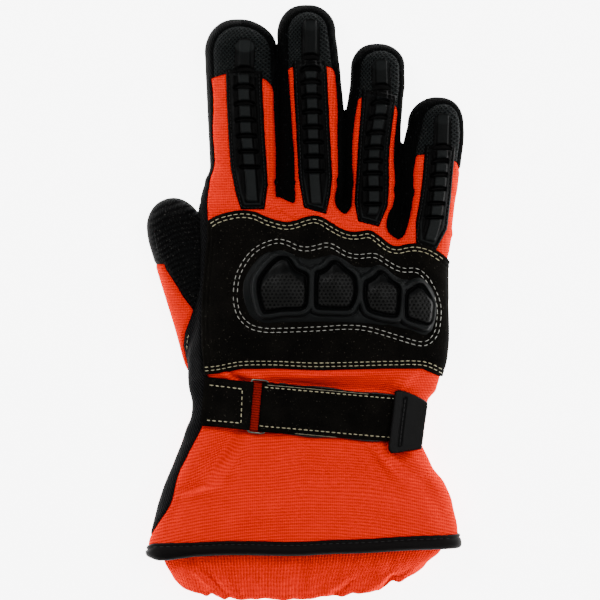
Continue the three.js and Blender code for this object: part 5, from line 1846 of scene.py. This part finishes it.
# Table, light and camera, all in metres
WHITE, TABLE_TONE = (1, 1, 1, 1), (0.86, 0.86, 0.86, 1)
TABLE_HALF, TABLE_DROP, TABLE_GLOW, ROOM_GLOW = 3.0, 0.0002, 7.0, 0.14


def table():
    mesh = bpy.data.meshes.new("table")
    corners = [(x * TABLE_HALF, y * TABLE_HALF, 0) for x, y in ((-1, -1), (1, -1), (1, 1), (-1, 1))]
    mesh.from_pydata(corners, [], [(0, 1, 2, 3)])
    glow = {"Emission Color": WHITE, "Emission Strength": TABLE_GLOW}
    mesh.materials.append(Nodes("white_table").finish(TABLE_TONE, 1.0, **glow))
    item = bpy.data.objects.new("table", mesh)
    bpy.context.scene.collection.objects.link(item)
    item.location.z = -TABLE_DROP


def area_light(name, place, size, energy):
    """A round light that points at the glove."""
    light = bpy.data.lights.new(name, "AREA")
    light.energy, light.size, light.shape = energy, size, "DISK"
    item = bpy.data.objects.new(name, light)
    item.location = place
    item.rotation_euler = (-Vector(place)).to_track_quat("-Z", "Y").to_euler()
    bpy.context.scene.collection.objects.link(item)


# Each light: its place, its width and its power in watts
LIGHTS = {
    "window": ((-0.5, 0.5, 0.95), 0.4, 8.9),
    "ceiling": ((0.5, 0.2, 1.1), 0.7, 8.7),
    "fill": ((0.65, -0.75, 0.8), 0.8, 5.5),
}
table()
for name, (place, size, energy) in LIGHTS.items():
    area_light(name, place, size, energy)
world = bpy.data.worlds.new("room")
world.use_nodes = True
background = world.node_tree.nodes["Background"]
background.inputs["Color"].default_value = WHITE
background.inputs["Strength"].default_value = ROOM_GLOW
bpy.context.scene.world = world

# The view is as wide as the photo at FOCUS_HEIGHT above the table
VIEW_WIDTH, VIEW_CENTRE, DISTANCE = 0.288, (-0.0024, 0.0007), 1.6
FOCUS_HEIGHT, SENSOR = 0.014, 36
camera_data = bpy.data.cameras.new("camera")
camera_data.sensor_width = SENSOR
camera_data.lens = SENSOR * (DISTANCE - FOCUS_HEIGHT) / VIEW_WIDTH
camera = bpy.data.objects.new("camera", camera_data)
camera.location = (*VIEW_CENTRE, DISTANCE)
bpy.context.scene.collection.objects.link(camera)
bpy.context.scene.camera = camera
